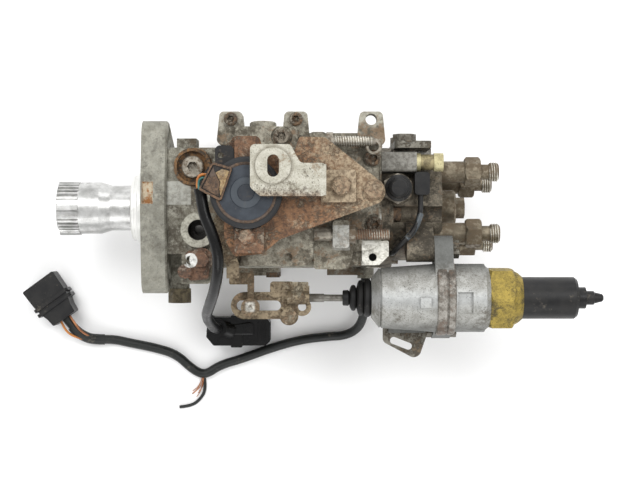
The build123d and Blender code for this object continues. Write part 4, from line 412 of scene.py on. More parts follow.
def rusted(name, steel, rust_light, rust_dark, share=0.5, metallic=0.5, flake=0.3, pale=None,
           extra=None):
    """Plated or bare steel gone to rust in layers, with flakes that stand up."""
    paint = Paint(name, metallic, 0.7)
    fine = paint.noise(520, 5, 0.75)
    spread = paint.noise(48, 9, 0.74, warp=0.5) * 0.68 + fine * 0.32
    mask = spread.between(share - 0.045, share + 0.035)
    tone = (paint.noise(150, 8, 0.75) * 0.6 + fine * 0.4).between(0.42, 0.58)
    dark_spots = (paint.noise(95, 8, 0.78) * 0.6 + fine * 0.4).between(0.54, 0.62)
    bare = paint.blend(tone * 0.6, steel, rust_dark)
    colour = paint.blend(mask, bare, paint.blend(tone, rust_dark, rust_light))
    if pale is not None:
        scale = paint.noise(75, 9, 0.78, warp=0.3).between(0.55, 0.63)
        colour = paint.blend(scale * 0.7, colour, pale)
    colour = paint.blend(dark_spots * 0.75, colour, tuple(channel * 0.35 for channel in rust_dark))
    rough = 0.55 + mask * 0.3
    if extra is not None:
        colour, rough = extra(paint, colour, rough)
    paint.feed(colour, rough, (1.0 - mask) * metallic)
    paint.bump(fine * (mask * 0.8 + 0.25), flake)
    paint.bump(paint.noise(140, 7, 0.7) * mask, 0.6, 0.7)
    return paint.material


def side_marks(paint, colour, rough):
    """The white painted pin, and the olive plug that stands further out."""
    pin = disc(paint, *WHITE_PIN, 4.6, 0.3)
    chalk = paint.noise(300, 6, 0.7).between(0.35, 0.65)
    olive = paint.blend(chalk, (0.070, 0.056, 0.034), (0.165, 0.135, 0.080))
    colour = paint.blend(1.0 - beyond(paint, "Y", -47.5, -46.5), colour, olive)
    white = paint.blend(chalk, (0.60, 0.60, 0.56), (0.82, 0.82, 0.80))
    return paint.blend(pin, colour, white), rough * (1.0 - pin * 0.3)


side_steel = rusted(
    "side_steel", steel=(0.22, 0.17, 0.13), rust_light=(0.195, 0.108, 0.066),
    rust_dark=(0.075, 0.044, 0.030), share=0.48, metallic=0.4, pale=(0.27, 0.235, 0.19),
    extra=side_marks,
)
dress(side_steel, "side_bracket", edge=0.25)


# Governor cover: a second aluminium casting, screwed down on its gasket. One lug at its rear
# corner is bright, and white bloom spreads from the edge. The timing device's covers match.
BRIGHT_LUG = (139.6, 157.5, -41.0, -21.5)
WHITE_BLOOM = (151.0, 160.0, -18.0, -4.0)
STOP_BLOCK = (121.0, 132.0, -27.5, -12.0)


def cover_marks(paint, colour, rough):
    """The bright lug and the white bloom at the cover's rear edge, worn ear ends."""
    chalk = paint.noise(330, 7, 0.75).between(0.40, 0.58)
    bright = zone(paint, *BRIGHT_LUG) * (chalk * 0.6 + 0.4)
    bloom = zone(paint, *WHITE_BLOOM, 1.5) * chalk
    ear_end = beyond(paint, "Y", 47.0, 55.0) * chalk * 0.7
    colour = paint.blend(ear_end, colour, (0.36, 0.35, 0.30))
    colour = paint.blend(bright, colour, (0.70, 0.69, 0.63))
    colour = paint.blend(bloom * 0.9, colour, (0.66, 0.65, 0.60))
    stop_block = zone(paint, *STOP_BLOCK) * beyond(paint, "Z", 50.0, 54.0)
    return paint.blend(stop_block * (0.35 + chalk * 0.5), colour, (0.43, 0.43, 0.40)), rough


cover_metal = casting(
    "cover_casting", light=(0.33, 0.31, 0.25), dark=(0.155, 0.140, 0.105), grime=DIRT, metallic=0.40,
    dirt=0.475, rust=(0.155, 0.100, 0.055), rust_share=0.545, extra=cover_marks,
)
dress(cover_metal, "governor_cover", edge=0.7, segments=3)
dress(cover_metal, "timer_covers", edge=0.5)


# Blind cap in the far side of the governor cover: a turned disc with a rounded rim, of the
# cover's own metal, that closes a bore in its side.
SIDE_CAP = (77.8, 46.4, 47.0)


def piece(name, mesh, material, body="pump_body", smooth=40.0):
    """A mesh as a piece that rides on one body of the part."""
    mesh.materials.clear()
    mesh.materials.append(material)
    if smooth:
        mesh.shade_smooth()
        mesh.set_sharp_from_angle(angle=math.radians(smooth))
    shape = bpy.data.objects.new(name, mesh)
    bpy.context.collection.objects.link(shape)
    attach(shape, body)
    return shape


def mesh_of(name, vertices, faces):
    """A mesh from corner points in millimetres, its faces turned outward."""
    mesh = bpy.data.meshes.new(name)
    mesh.from_pydata([(x * MM, y * MM, z * MM) for x, y, z in vertices], [], faces)
    work = bmesh.new()
    work.from_mesh(mesh)
    bmesh.ops.recalc_face_normals(work, faces=work.faces)
    work.to_mesh(mesh)
    work.free()
    return mesh


def turner(start, direction):
    """A function from the way along a line, the radius off it and the angle round it to a place."""
    forward = Vector(direction).normalized()
    side = forward.orthogonal().normalized()
    up = forward.cross(side)

    def place(along, radius, angle):
        return Vector(start) + forward * along + (side * math.cos(angle) + up * math.sin(angle)) * radius

    return place


def lathe(name, profile, start, direction, material, around=48, closed=False, smooth=40.0):
    """A turned piece from (along, radius) points about a line from start."""
    place = turner(start, direction)
    turns = [2 * math.pi * step / around for step in range(around)]
    vertices = [place(along, radius, angle) for along, radius in profile for angle in turns]
    rings = len(profile)
    faces = []
    for ring in range(rings if closed else rings - 1):
        near, far = ring * around, (ring + 1) % rings * around
        for step in range(around):
            following = (step + 1) % around
            faces.append((near + step, near + following, far + following, far + step))
    if not closed:
        faces.append(tuple(range(around)))
        faces.append(tuple(range((rings - 1) * around, rings * around)))
    return piece(name, mesh_of(name, vertices, faces), material, smooth=smooth)


lathe("cover_side_cap", [(0.0, 8.4), (5.4, 8.4), (6.4, 7.6), (6.8, 6.2)], SIDE_CAP, (0, 1, 0), cover_metal)


# Screws of the castings: plated steel socket heads that hold the governor cover, the head
# and the timing device's covers, brown where the plating has gone.
screw_metal = rusted(
    "screw_steel", steel=(0.22, 0.195, 0.155), rust_light=(0.17, 0.105, 0.058),
    rust_dark=(0.055, 0.038, 0.026), share=0.50, metallic=0.75,
)
dress(screw_metal, "timer_screws", "cover_screws", "head_screws", edge=0.25)


# Small turned steel pieces: throttle shaft, stop screws with their lock nuts, regulating
# valve plug and the body of the cut-off solenoid, dull with old oil.
dull_steel = turned(
    "dull_steel", light=(0.34, 0.31, 0.26), dark=(0.18, 0.165, 0.135), roughness=0.42, metallic=0.85,
    smear=(0.105, 0.070, 0.040), share=0.50,
)
dress(dull_steel, "stop_screws", "regulator_plug", "cutoff_solenoid", "throttle_shaft", edge=0.25)


# Stop screws of the throttle: the idle screw is bright and reaches to a ring eye, and the
# speed screw behind its lock nut has gone to rust. Their rolled threads stand on the cores.
THREAD_SECTION = [(-0.46, 0.0), (-0.12, 1.0), (0.12, 1.0), (0.46, 0.0)]
IDLE_STOP = (121.6, 39.6, 63.4)
SPEED_STOP = (135.6, -17.5, 62.0)


def thread(name, start, length, radius, pitch, depth, material, around=28):
    """A screw thread along X: one ridge wound round a core, fading out at both ends."""
    place = turner(start, (1, 0, 0))
    steps = int(length / pitch * around)
    corners = len(THREAD_SECTION)
    vertices, faces = [], []
    for step in range(steps + 1):
        angle = 2 * math.pi * step / around
        along = length * step / steps
        fade = min(1.0, step / 8.0, (steps - step) / 8.0)
        for offset, rise in THREAD_SECTION:
            shift = min(max(along + offset * pitch, 0.0), length)
            vertices.append(place(shift, radius - depth + depth * rise * fade, angle))
    for step in range(steps):
        for a in range(step * corners, (step + 1) * corners - 1):
            faces.append((a, a + 1, a + 1 + corners, a + corners))
    faces.append(tuple(range(corners)))
    faces.append(tuple(range(steps * corners, (steps + 1) * corners)))
    return piece(name, mesh_of(name, vertices, faces), material, smooth=0.0)


thread_steel = turned(
    "thread_steel", light=(0.62, 0.60, 0.54), dark=(0.36, 0.34, 0.29), roughness=0.32, metallic=0.95,
    smear=(0.16, 0.12, 0.08), share=0.56,
)
rust_metal = rusted(
    "rusty_steel", steel=(0.24, 0.20, 0.15), rust_light=RUST_LIGHT, rust_dark=RUST_DARK, share=0.46,
    metallic=0.45, pale=(0.29, 0.235, 0.170),
)
thread("idle_stop_thread", IDLE_STOP, length=24.2, radius=3.35, pitch=1.55, depth=0.6,
       material=thread_steel)
thread("speed_stop_thread", SPEED_STOP, length=20.4, radius=3.5, pitch=1.5, depth=0.55,
       material=rust_metal)
lathe("idle_stop_eye", [
    (-1.1, 3.2), (-1.1, 4.6), (-0.5, 5.2), (0.6, 5.2), (1.2, 4.6), (1.2, 3.2),
], (146.6, 36.4, 63.4), (0, 0, 1), dull_steel, closed=True)


# Throttle lever and the yoke of the pull rod: pressed and plated steel, now tan and brown.
# The lever's limb has worn bright where it stands in the yoke's slot.
TAN = (0.270, 0.215, 0.140)
WORN_LIMB = (66.8, 72.6, -66.0, -60.0)


def yoke_marks(paint, colour, rough):
    """The end of the lever's limb, worn bright in the slot."""
    worn = zone(paint, *WORN_LIMB, 0.8) * paint.noise(300, 6, 0.7).between(0.35, 0.55)
    return paint.blend(worn * 0.9, colour, (0.56, 0.55, 0.50)), rough - worn * 0.25


yoke_plate = rusted(
    "yoke_plate", steel=TAN, rust_light=(0.215, 0.150, 0.090), rust_dark=(0.080, 0.058, 0.036),
    share=0.52, metallic=0.55, pale=(0.38, 0.35, 0.27), extra=yoke_marks,
)
dress(yoke_plate, "yoke", "throttle_lever", edge=0.35)


# Sensor plate: a three-cornered sheet of steel on the cover's posts that carries the throttle
# sensor. It is rusty round the sensor and dry and tan towards its far corner.
def plate_marks(paint, colour, rough):
    """Rust gives way to dry tan metal towards the right of the plate."""
    fine = paint.noise(420, 6, 0.75)
    tan = (paint.axis("X") * 9.0 + paint.axis("Y") * 4.0 + (fine - 0.5) * 0.9).between(0.95, 1.35)
    tone = paint.blend(fine.between(0.40, 0.60), (0.17, 0.125, 0.078), (0.36, 0.285, 0.190))
    return paint.blend(tan * 0.85, colour, tone), rough


plate_steel = rusted(
    "plate_steel", steel=(0.21, 0.165, 0.115), rust_light=(0.215, 0.112, 0.055),
    rust_dark=(0.080, 0.042, 0.024), share=0.45, metallic=0.4, pale=(0.34, 0.265, 0.180),
    extra=plate_marks,
)
dress(plate_steel, "sensor_plate", edge=0.4)


# Bolts of the plate and clamps of the sensor: hexagon heads and pressed claws. The two bolts
# at the plate's dry end are tan, and the clamps beside the sensor are rusty.
def fastener_marks(paint, colour, rough):
    """Tan beyond the place where the plate turns dry."""
    fine = paint.noise(420, 6, 0.75)
    dry = beyond(paint, "X", 100.0, 104.0) * (0.45 + fine.between(0.45, 0.55) * 0.5)
    return paint.blend(dry, colour, (0.285, 0.215, 0.140)), rough


clamp_steel = rusted(
    "clamp_steel", steel=(0.24, 0.20, 0.15), rust_light=RUST_LIGHT, rust_dark=RUST_DARK, share=0.46,
    metallic=0.45, pale=(0.29, 0.235, 0.170), extra=fastener_marks,
)
dress(clamp_steel, "bracket_fasteners", edge=0.25)


# Throttle sensor: a black moulded housing with a raised connector box at its side. The box's
# rim is brown with varnish.
def sensor_marks(paint, colour, rough):
    """Brown varnish on the raised rim of the connector box."""
    fine = paint.noise(380, 6, 0.75).between(0.40, 0.60)
    brown = paint.blend(fine, (0.040, 0.026, 0.018), (0.150, 0.085, 0.045))
    below_top = 1.0 - beyond(paint, "Z", 99.4, 99.7)
    inner_face = paint.facing("Z").between(0.5, 0.9) * below_top
    rim = beyond(paint, "Z", 97.2, 97.6) * (1.0 - inner_face)
    return paint.blend(rim * 0.9, colour, brown), rough


sensor_black = moulded(
    "sensor_black", tone=(0.007, 0.007, 0.0075), other_tone=(0.014, 0.0135, 0.013), roughness=0.42,
    dust=(0.12, 0.09, 0.065), dust_share=0.55, shine=0.3, extra=sensor_marks,
)
dress(sensor_black, "sensor_housing", edge=0.4)


# Cap of the throttle sensor: a slate plastic disc with a shallow dish, seated inside the
# housing's black wall and sealed by a bead of brown varnish.
SENSOR_AXIS = (69.6, 7.0)
CAP_RADIUS = 16.6
BEAD_RADIUS = 18.2
DISH_RADIUS = 9.3
HUB_RADIUS = 5.0


def cap_marks(paint, colour, rough):
    """A slate disc inside a varnished brown ring and a black outer edge; painted highlight in the dish,
    painted shade on the hub.
    """
    fine = paint.noise(400, 6, 0.75).between(0.40, 0.60)
    inside_bead = disc(paint, *SENSOR_AXIS, BEAD_RADIUS, 0.2)
    ring = inside_bead - disc(paint, *SENSOR_AXIS, CAP_RADIUS, 0.15)
    brown = paint.blend(fine, (0.038, 0.022, 0.015), (0.165, 0.080, 0.038))
    # Painted highlight: the dish is painted a lighter slate.
    painted_dish_highlight = disc(paint, *SENSOR_AXIS, DISH_RADIUS, 0.5) - disc(paint, *SENSOR_AXIS, HUB_RADIUS, 0.3)
    colour = paint.blend(painted_dish_highlight * 0.6, colour, (0.050, 0.060, 0.070))
    # Painted shade: the hub is painted darker.
    painted_hub_shade = disc(paint, *SENSOR_AXIS, HUB_RADIUS - 0.2, 0.3)
    colour = paint.blend(painted_hub_shade * 0.6, colour, (0.010, 0.013, 0.018))
    colour = paint.blend((1.0 - inside_bead) * 0.85, colour, (0.008, 0.0075, 0.007))
    return paint.blend(ring, colour, brown), rough + ring * 0.15


sensor_slate = moulded(
    "sensor_slate", tone=(0.016, 0.021, 0.029), other_tone=(0.030, 0.038, 0.049), roughness=0.42,
    dust=(0.12, 0.10, 0.08), dust_share=0.56, shine=0.35, extra=cap_marks,
)
dress(sensor_slate, "sensor_cap", edge=0.3)
varnish = rusted(
    "brown_varnish", steel=(0.080, 0.052, 0.034), rust_light=(0.135, 0.082, 0.048),
    rust_dark=(0.040, 0.026, 0.018), share=0.5, metallic=0.0, flake=0.1,
)
lathe("sensor_cap_ring", [
    (0.0, 16.7), (0.5, 16.8), (0.8, 17.2), (0.8, 17.7), (0.5, 18.2), (0.0, 18.3),
], (*SENSOR_AXIS, 97.3), (0, 0, 1), varnish, around=96, closed=True)


# Filling of the connector box: poured resin seals the soldered wires in one half, and a
# varnished lid covers the other.
BOX_FLOOR = 98.8


def slab(name, outline, z0, z1, material, edge):
    """A flat piece from its outline seen from above, with rounded upper and lower edges."""
    count = len(outline)
    vertices = [(x, y, z) for z in (z0, z1) for x, y in outline]
    sides = [(i, (i + 1) % count, count + (i + 1) % count, count + i) for i in range(count)]
    ends = [tuple(range(count)), tuple(range(count, 2 * count))]
    shape = piece(name, mesh_of(name, vertices, ends + sides), material, smooth=0.0)
    bevel = shape.modifiers.new("broken_edges", "BEVEL")
    bevel.width = edge * MM
    bevel.segments = 2
    bevel.limit_method = "ANGLE"


def resin_finish():
    """Clear brown resin, clouded and streaked, with a wet shine."""
    paint = Paint("potting_resin", 0.0, 0.22, Coat_Weight=0.5, Coat_Roughness=0.1)
    cloud = paint.noise(170, 7, 0.7).between(0.38, 0.60)
    streak = paint.noise(60, 8, 0.75, warp=0.8).between(0.46, 0.56)
    colour = paint.blend(cloud, (0.150, 0.085, 0.030), (0.330, 0.235, 0.110))
    paint.feed(paint.blend(streak * 0.7, colour, (0.060, 0.038, 0.024)), 0.2 + cloud * 0.25)
    paint.bump(paint.noise(260, 5, 0.6), 0.4)
    return paint.material


slab("sensor_potting", [
    (51.6, 18.7), (55.6, 20.9), (59.9, 19.7), (57.6, 12.6), (54.7, 4.4), (53.9, 9.0), (54.6, 13.2),
], BOX_FLOOR, BOX_FLOOR + 0.95, resin_finish(), edge=0.35)
slab("sensor_box_lid", [
    (43.9, 9.7), (50.4, 22.3), (51.3, 18.9), (54.3, 13.3), (53.6, 9.0), (53.6, 4.3),
], BOX_FLOOR, BOX_FLOOR + 0.65, varnish, edge=0.3)


# Slotted bracket: zinc plated steel above the sensor, pale and pitted, with a raised pad
# round its slot. It is bent down to a foot that is screwed to the plate.
BRACKET_SLOT = (85.9, 22.7)
PAD_RADIUS = 12.2


def bracket_marks(paint, colour, rough):
    """Rust creeping in from the bracket's lower edge and its foot, tan like the plate, and painted shade
    round the raised pad's edge.
    """
    fine = paint.noise(300, 8, 0.78)
    lower_edge = 1.0 - (paint.axis("Y") * 55.0 + (fine - 0.5) * 1.8).between(0.20, 0.60)
    edge = lower_edge * (1.0 - beyond(paint, "X", 113.0, 114.5))
    rust = paint.blend(fine.between(0.44, 0.56), (0.050, 0.030, 0.018), (0.190, 0.110, 0.058))
    foot = 1.0 - beyond(paint, "Z", 91.5, 92.5)
    tan = paint.blend(fine.between(0.42, 0.58), (0.17, 0.125, 0.078), (0.37, 0.295, 0.200))
    colour = paint.blend(edge * 0.85, colour, rust)
    # Painted shade: a darker ring round the raised pad's edge.
    pad_rim_shade = disc(paint, *BRACKET_SLOT, PAD_RADIUS, 0.7)
    pad_rim_shade = pad_rim_shade - disc(paint, *BRACKET_SLOT, PAD_RADIUS - 1.7, 0.5)
    colour = paint.blend(pad_rim_shade * 0.45, colour, (0.150, 0.130, 0.095))
    return paint.blend(foot, colour, tan), rough


slotted_zinc = casting(
    "slotted_zinc", light=(0.47, 0.455, 0.39), dark=(0.33, 0.315, 0.255), grime=(0.110, 0.090, 0.060),
    metallic=0.30, dirt=0.415, grain=0.3, rust=(0.20, 0.15, 0.095), rust_share=0.565,
    extra=bracket_marks,
)
dress(slotted_zinc, "slotted_bracket", edge=0.4)


# Sensor lead: twisted wires in a glossy shrink sleeve, from the throttle sensor's connector
# box down over the linkage to its own plug beside the pump. The sleeve has a rolled mouth.
def wire(name, points, radius, material, body="pump_body"):
    """A round flexible piece as a NURBS tube through its control points in millimetres."""
    curve = bpy.data.curves.new(name, "CURVE")
    curve.dimensions = "3D"
    curve.bevel_depth = radius * MM
    curve.bevel_resolution = 5
    curve.use_fill_caps = True
    spline = curve.splines.new("NURBS")
    spline.points.add(len(points) - 1)
    for target, (x, y, z) in zip(spline.points, points):
        target.co = (x * MM, y * MM, z * MM, 1.0)
    spline.order_u = 3
    spline.use_endpoint_u = True
    spline.resolution_u = 16
    curve.materials.append(material)
    shape = bpy.data.objects.new(name, curve)
    bpy.context.collection.objects.link(shape)
    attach(shape, body)
    return shape


glossy_sleeve = moulded(
    "glossy_sleeve", tone=(0.0025, 0.0025, 0.0025), other_tone=(0.005, 0.005, 0.005), roughness=0.26,
    dust_share=0.64, shine=0.22,
)
sensor_lead = wire("sensor_lead", [
    (42.0, 9.5, 90.5), (43.4, -4.0, 90.5), (48.2, -15.0, 89.5), (52.3, -28.0, 86.5), (51.9, -40.0, 80.0),
    (48.4, -52.5, 63.0), (43.6, -63.0, 42.0), (40.0, -69.5, 20.0), (40.5, -75.8, -2.0),
    (43.5, -81.5, -22.0), (43.5, -81.5, -40.0),
], 3.5, glossy_sleeve)
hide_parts("sensor_cable")
lathe("sleeve_mouth", [
    (0.0, 3.1), (-0.5, 3.5), (-0.2, 3.9), (1.6, 3.75), (3.2, 3.5),
], (41.95, 9.3, 90.5), (0.09, -0.99, 0.0), glossy_sleeve)


# Wires of the throttle sensor: three insulated copper wires, orange, teal and dark, soldered
# in the connector box and led in one bend under the sleeve's mouth.
WIRE_RADIUS = 0.8
hard_plastic = moulded(
    "black_plastic", tone=(0.006, 0.006, 0.0065), other_tone=(0.013, 0.0125, 0.012), roughness=0.38,
    shine=0.28,
)
orange = moulded(
    "orange_wire", tone=(0.46, 0.165, 0.025), other_tone=(0.32, 0.105, 0.018), roughness=0.35,
)
teal = moulded(
    "teal_wire", tone=(0.03, 0.15, 0.135), other_tone=(0.02, 0.10, 0.09), roughness=0.35,
)
wire("sensor_wire_orange", [
    (46.5, 17.6, 95.2), (43.0, 18.4, 96.4), (40.2, 14.8, 95.8), (40.4, 9.0, 92.6),
], WIRE_RADIUS, orange)
wire("sensor_wire_teal", [
    (45.8, 15.6, 95.2), (43.0, 16.2, 96.6), (41.2, 13.0, 95.8), (41.6, 8.6, 93.2),
], WIRE_RADIUS, teal)
wire("sensor_wire_dark", [
    (45.4, 13.8, 95.2), (43.6, 14.4, 96.4), (42.4, 12.0, 95.6), (42.9, 8.4, 93.0),
], WIRE_RADIUS, hard_plastic)


# Sensor plug: a glossy black moulding on the floor beside the pump. A round barrel takes the
# wires at its left end, and a latch and three ribs stand on its body.
PLUG_TOP = -44.4
RIB_X = 70.4
RIB_WIDTH = 0.9
RIB_STEP = 2.2
dress(glossy_sleeve, "sensor_plug", edge=1.2, segments=3)
lathe("sensor_plug_barrel", [
    (0.0, 4.6), (0.0, 6.1), (0.5, 6.5), (2.2, 6.5), (2.7, 5.7), (10.0, 5.9), (17.0, 6.4), (19.0, 5.4),
], (36.7, -79.0, -46.9), (0.955, -0.296, 0.0), glossy_sleeve, closed=True)
slab("sensor_plug_latch", [
    (54.0, -79.0), (66.0, -77.6), (68.0, -80.0), (68.0, -86.5), (54.0, -86.5),
], PLUG_TOP, PLUG_TOP + 1.8, glossy_sleeve, edge=0.8)
for rib in range(3):
    left = RIB_X + RIB_STEP * rib
    right = left + RIB_WIDTH
    slab(f"sensor_plug_rib_{rib + 1}", [
        (left, -77.4), (right, -77.4), (right, -91.6), (left, -91.6),
    ], PLUG_TOP, PLUG_TOP + 1.0, glossy_sleeve, edge=0.25)
wire("plug_lead_orange", [
    (43.2, -80.8, -36.0), (41.0, -79.9, -41.6), (38.9, -79.6, -44.6), (38.0, -79.4, -46.0),
], WIRE_RADIUS, orange)
wire("plug_lead_dark", [
    (44.4, -82.0, -36.0), (41.6, -81.6, -41.0), (39.2, -81.0, -44.8), (38.0, -80.6, -46.6),
], WIRE_RADIUS, hard_plastic)


# Distributor head: a steel block bolted to the housing's end, dark with burnt-on oil. Fuel
# keeps the boss of the return line clean, so it is bare grey metal.
RETURN_BOSS = (150.0, 175.2, 21.5, 36.0)


def head_marks(paint, colour, rough):
    """Bare grey metal on the boss of the return line."""
    boss = zone(paint, *RETURN_BOSS) * beyond(paint, "Z", 20.0, 26.0)
    fine = paint.noise(300, 7, 0.75).between(0.40, 0.60)
    grey = paint.blend(fine, (0.125, 0.120, 0.105), (0.27, 0.265, 0.24))
    return paint.blend(boss * 0.85, colour, grey), rough


head_metal = casting(
    "head_casting", light=(0.215, 0.185, 0.138), dark=(0.092, 0.078, 0.055),
    grime=(0.026, 0.021, 0.014), metallic=0.40, dirt=0.485, rust=(0.125, 0.080, 0.045),
    rust_share=0.545, extra=head_marks,
)
dress(head_metal, "distributor_head", edge=0.7, segments=3)


# Delivery valve holders: hexagon steel bodies screwed into the head, each ending in the
# thread that takes an injection pipe's union nut. The head's centre plug is of the same steel.
OUTLET_CIRCLE = 28.5
FIRST_OUTLET_ANGLE = 36.6
OUTLET_THREAD_X = 222.8
holder_steel = turned(
    "holder_steel", light=(0.235, 0.200, 0.145), dark=(0.105, 0.088, 0.062), roughness=0.45,
    metallic=0.8, smear=(0.095, 0.068, 0.040), share=0.49,
)
dress(holder_steel, "valve_holders", "head_plug", edge=0.25)
for outlet in range(4):
    angle = math.radians(FIRST_OUTLET_ANGLE + 90 * outlet)
    start = (OUTLET_THREAD_X, OUTLET_CIRCLE * math.cos(angle), OUTLET_CIRCLE * math.sin(angle))
    thread(f"outlet_thread_{outlet + 1}", start, length=5.6, radius=6.35, pitch=1.5, depth=0.75,
           material=thread_steel)


# Return fitting: a pale plated banjo bolt with its eye between two sealing washers, screwed
# into the head's grey boss.
BANJO_EYE = (177.3, 185.7, 20.0, 60.0)


def fitting_marks(paint, colour, rough):
    """Darker banjo eye between its two pale sealing washers."""
    eye = zone(paint, *BANJO_EYE, 0.2)
    fine = paint.noise(260, 7, 0.7).between(0.4, 0.6)
    tone = paint.blend(fine, (0.105, 0.082, 0.045), (0.30, 0.25, 0.135))
    return paint.blend(eye * 0.85, colour, tone), rough


pale_fitting = casting(
    "pale_fitting", light=(0.56, 0.51, 0.30), dark=(0.34, 0.30, 0.165), grime=(0.10, 0.075, 0.04),
    metallic=0.45, dirt=0.42, grain=0.1, extra=fitting_marks,
)
dress(pale_fitting, "return_fitting", edge=0.25)


# Black mouldings: rubber boot and terminal of the cut-off solenoid, its wire, the wax element
# of the actuator and the harness plug. A slate shrink sleeve covers a joint in the wire.
dress(hard_plastic, "solenoid_boot", "thermo_element", "harness_plug", "solenoid_wire", edge=0.4)
shrink = moulded(
    "shrink_sleeve", tone=(0.030, 0.038, 0.044), other_tone=(0.060, 0.072, 0.080), roughness=0.26,
    shine=0.5,
)
wire("solenoid_sleeve", [
    (176.9, -5.0, 43.0), (175.0, -10.4, 46.3), (172.0, -15.8, 49.0), (167.4, -20.4, 50.2),
], 1.9, shrink)


# Brackets of pressed steel: the rear one carries the pump's end and the slotted one is bolted
# to the actuator. Both are grey with brown patches.
bracket_steel = rusted(
    "bracket_steel", steel=(0.20, 0.19, 0.16), rust_light=(0.150, 0.115, 0.075),
    rust_dark=(0.062, 0.050, 0.036), share=0.53, metallic=0.7,
)
dress(bracket_steel, "actuator_bracket", "rear_bracket", edge=0.35)


# Cold-start actuator: a cast body and a steel cylinder behind it, with a painted highlight along
# the crown and painted shade down the flanks. Its pull rod is dark turned steel.
ACTUATOR_AXIS = (-57.6, 42.0)


def actuator_marks(paint, colour, rough):
    """A painted highlight along the crown and painted shade down the flanks, by distance from the axis."""
    across = (paint.axis("Y") - ACTUATOR_AXIS[0] * MM).math("ABSOLUTE")
    across = across + paint.noise(60, 5, 0.7) * 10.0 * MM
    # Painted shade down the flanks and a pale bluish painted highlight along the crown.
    painted_shade = across.between(17.0 * MM, 29.0 * MM)
    painted_highlight = 1.0 - across.between(5.0 * MM, 14.0 * MM)
    colour = paint.blend(painted_shade * 0.85, colour, (0.095, 0.098, 0.093))
    colour = paint.blend(painted_highlight * 0.30, colour, (0.62, 0.65, 0.67))
    return colour, rough - painted_highlight * 0.16


actuator_metal = casting(
    "actuator_casting", light=(0.365, 0.365, 0.345), dark=(0.250, 0.247, 0.228),
    grime=(0.095, 0.083, 0.062), metallic=0.62, dirt=0.425, grain=0.10, extra=actuator_marks,
)
dress(actuator_metal, "actuator_body", "actuator_cylinder", edge=0.8, segments=3)
rod_steel = turned(
    "rod_steel", light=(0.21, 0.20, 0.18), dark=(0.095, 0.090, 0.078), roughness=0.4, metallic=0.85,
    smear=(0.055, 0.046, 0.034),
)
dress(rod_steel, "pull_rod", edge=0.25)


# Flanges of the actuator: two thick cast rims, bolted face to face and standing proud of the
# body, with dark paint worn off their edges.
RIMS_X = 186.2
rim_metal = casting(
    "actuator_rim", light=(0.33, 0.315, 0.285), dark=(0.135, 0.120, 0.100), grime=(0.050, 0.040, 0.030),
    metallic=0.5, dirt=0.475, rust=(0.105, 0.072, 0.050), rust_share=0.53,
)
lathe("actuator_rims", [
    (0.0, 21.3), (0.0, 22.8), (0.7, 23.6), (5.6, 23.6), (6.3, 22.9), (6.4, 22.3), (6.8, 22.3), (6.9, 22.8),
    (7.5, 23.4), (10.8, 23.4), (11.5, 22.6), (11.5, 21.3),
], (RIMS_X, *ACTUATOR_AXIS), (1, 0, 0), rim_metal, around=96, closed=True, smooth=30.0)


# Nut of the actuator's wax element: a large brass hexagon, tarnished and spotted, that
# screws the element into the cylinder's end.
brass = casting(
    "brass_nut", light=(0.36, 0.270, 0.060), dark=(0.22, 0.165, 0.040), grime=(0.050, 0.040, 0.020),
    metallic=0.6, dirt=0.45, grain=0.2,
)
dress(brass, "thermo_nut", edge=0.6, segments=3)


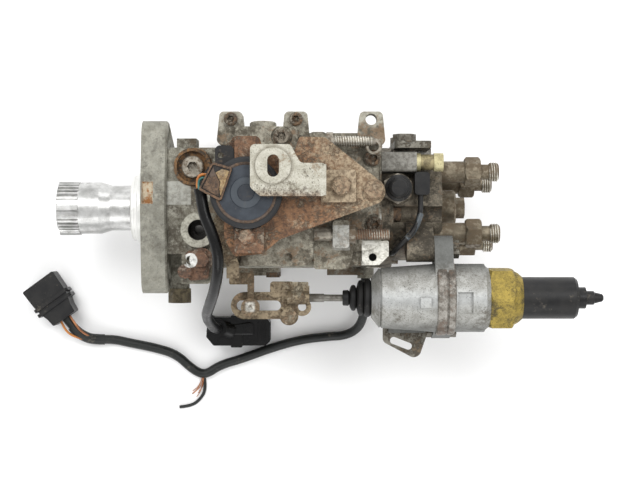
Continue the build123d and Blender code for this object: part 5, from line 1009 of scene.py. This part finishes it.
# Harness lead: a taped bundle that leaves the pump low down at the side, lies on the floor,
# passes a bared splice and rises to a three-pin plug.
FLOOR_LINE = FLOOR_Z + 3.15
tape = moulded(
    "harness_tape", tone=(0.006, 0.0075, 0.007), other_tone=(0.014, 0.0155, 0.0145), roughness=0.34,
    dust_share=0.58, grain=0.2, shine=0.32,
)
harness_lead = wire("harness_lead", [
    (144.5, -47.0, -31.0), (144.5, -60.0, -31.0), (143.8, -73.0, -42.0), (140.0, -83.0, -54.0),
    (131.0, -88.0, FLOOR_LINE), (119.0, -88.6, FLOOR_LINE), (99.0, -91.0, FLOOR_LINE),
    (79.0, -96.8, FLOOR_LINE), (59.0, -104.2, FLOOR_LINE), (43.5, -108.6, FLOOR_LINE),
    (33.0, -115.8, FLOOR_LINE), (24.0, -111.5, FLOOR_LINE), (13.0, -101.0, FLOOR_LINE),
    (-2.0, -96.5, FLOOR_LINE), (-19.0, -93.2, FLOOR_LINE), (-31.0, -90.5, FLOOR_LINE),
    (-45.0, -90.8, -57.0), (-56.534, -84.299, -52.0), (-63.0, -75.4, -52.0),
], 3.15, tape)
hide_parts("harness_cable")


# Tape round the harness near its plug, thicker than the bundle, and two wires that the tape
# has let go of: one still orange, one stripped to the copper.
copper = turned(
    "bare_copper", light=(0.52, 0.24, 0.12), dark=(0.30, 0.13, 0.07), roughness=0.4,
    smear=(0.10, 0.06, 0.04),
)
wire("harness_tape_wrap", [
    (-58.6, -81.4, -52.0), (-56.3, -84.6, -52.2), (-51.0, -88.2, -54.2), (-45.0, -90.6, -56.8),
    (-37.0, -90.6, -58.0),
], 3.7, tape)
wire("plug_wire_orange", [
    (-66.0, -77.5, -49.5), (-63.5, -83.5, -48.5), (-57.0, -88.5, -50.0), (-50.5, -90.2, -52.6),
], WIRE_RADIUS, orange)
wire("plug_wire_bare", [
    (-60.0, -73.8, -49.5), (-56.0, -79.5, -48.6), (-52.5, -84.8, -50.0), (-47.5, -88.0, -52.8),
], WIRE_RADIUS, copper)


# Splice of the harness, where a branch was cut: one taped wire curls away over the floor, and
# bare copper strands fan out beside it.
LOOSE_RADIUS = 1.1
WIRE_LINE = FLOOR_Z + LOOSE_RADIUS
STRAND_COUNT = 7
loose_end = wire("loose_wire", [
    (32.4, -118.1, WIRE_LINE), (33.6, -126.0, WIRE_LINE), (29.0, -133.5, WIRE_LINE),
    (22.5, -137.6, WIRE_LINE), (15.0, -138.2, WIRE_LINE),
], LOOSE_RADIUS, tape)
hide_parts("loose_wires")
chance = random.Random(7)
for strand in range(STRAND_COUNT):
    spread = chance.uniform(-1.0, 1.0)
    reach = chance.uniform(5.0, 10.5)
    wire(f"splice_strand_{strand + 1}", [
        (31.8 + spread, -117.6, FLOOR_Z + 2.6),
        (31.0 + spread * 1.8, -120.0 - reach * 0.3, FLOOR_Z + 1.6),
        (30.0 + spread * 3.2, -120.5 - reach * 0.8, FLOOR_Z + 0.7),
        (27.5 + spread * 4.0, -121.5 - reach, FLOOR_Z + 0.5),
    ], 0.22, copper)
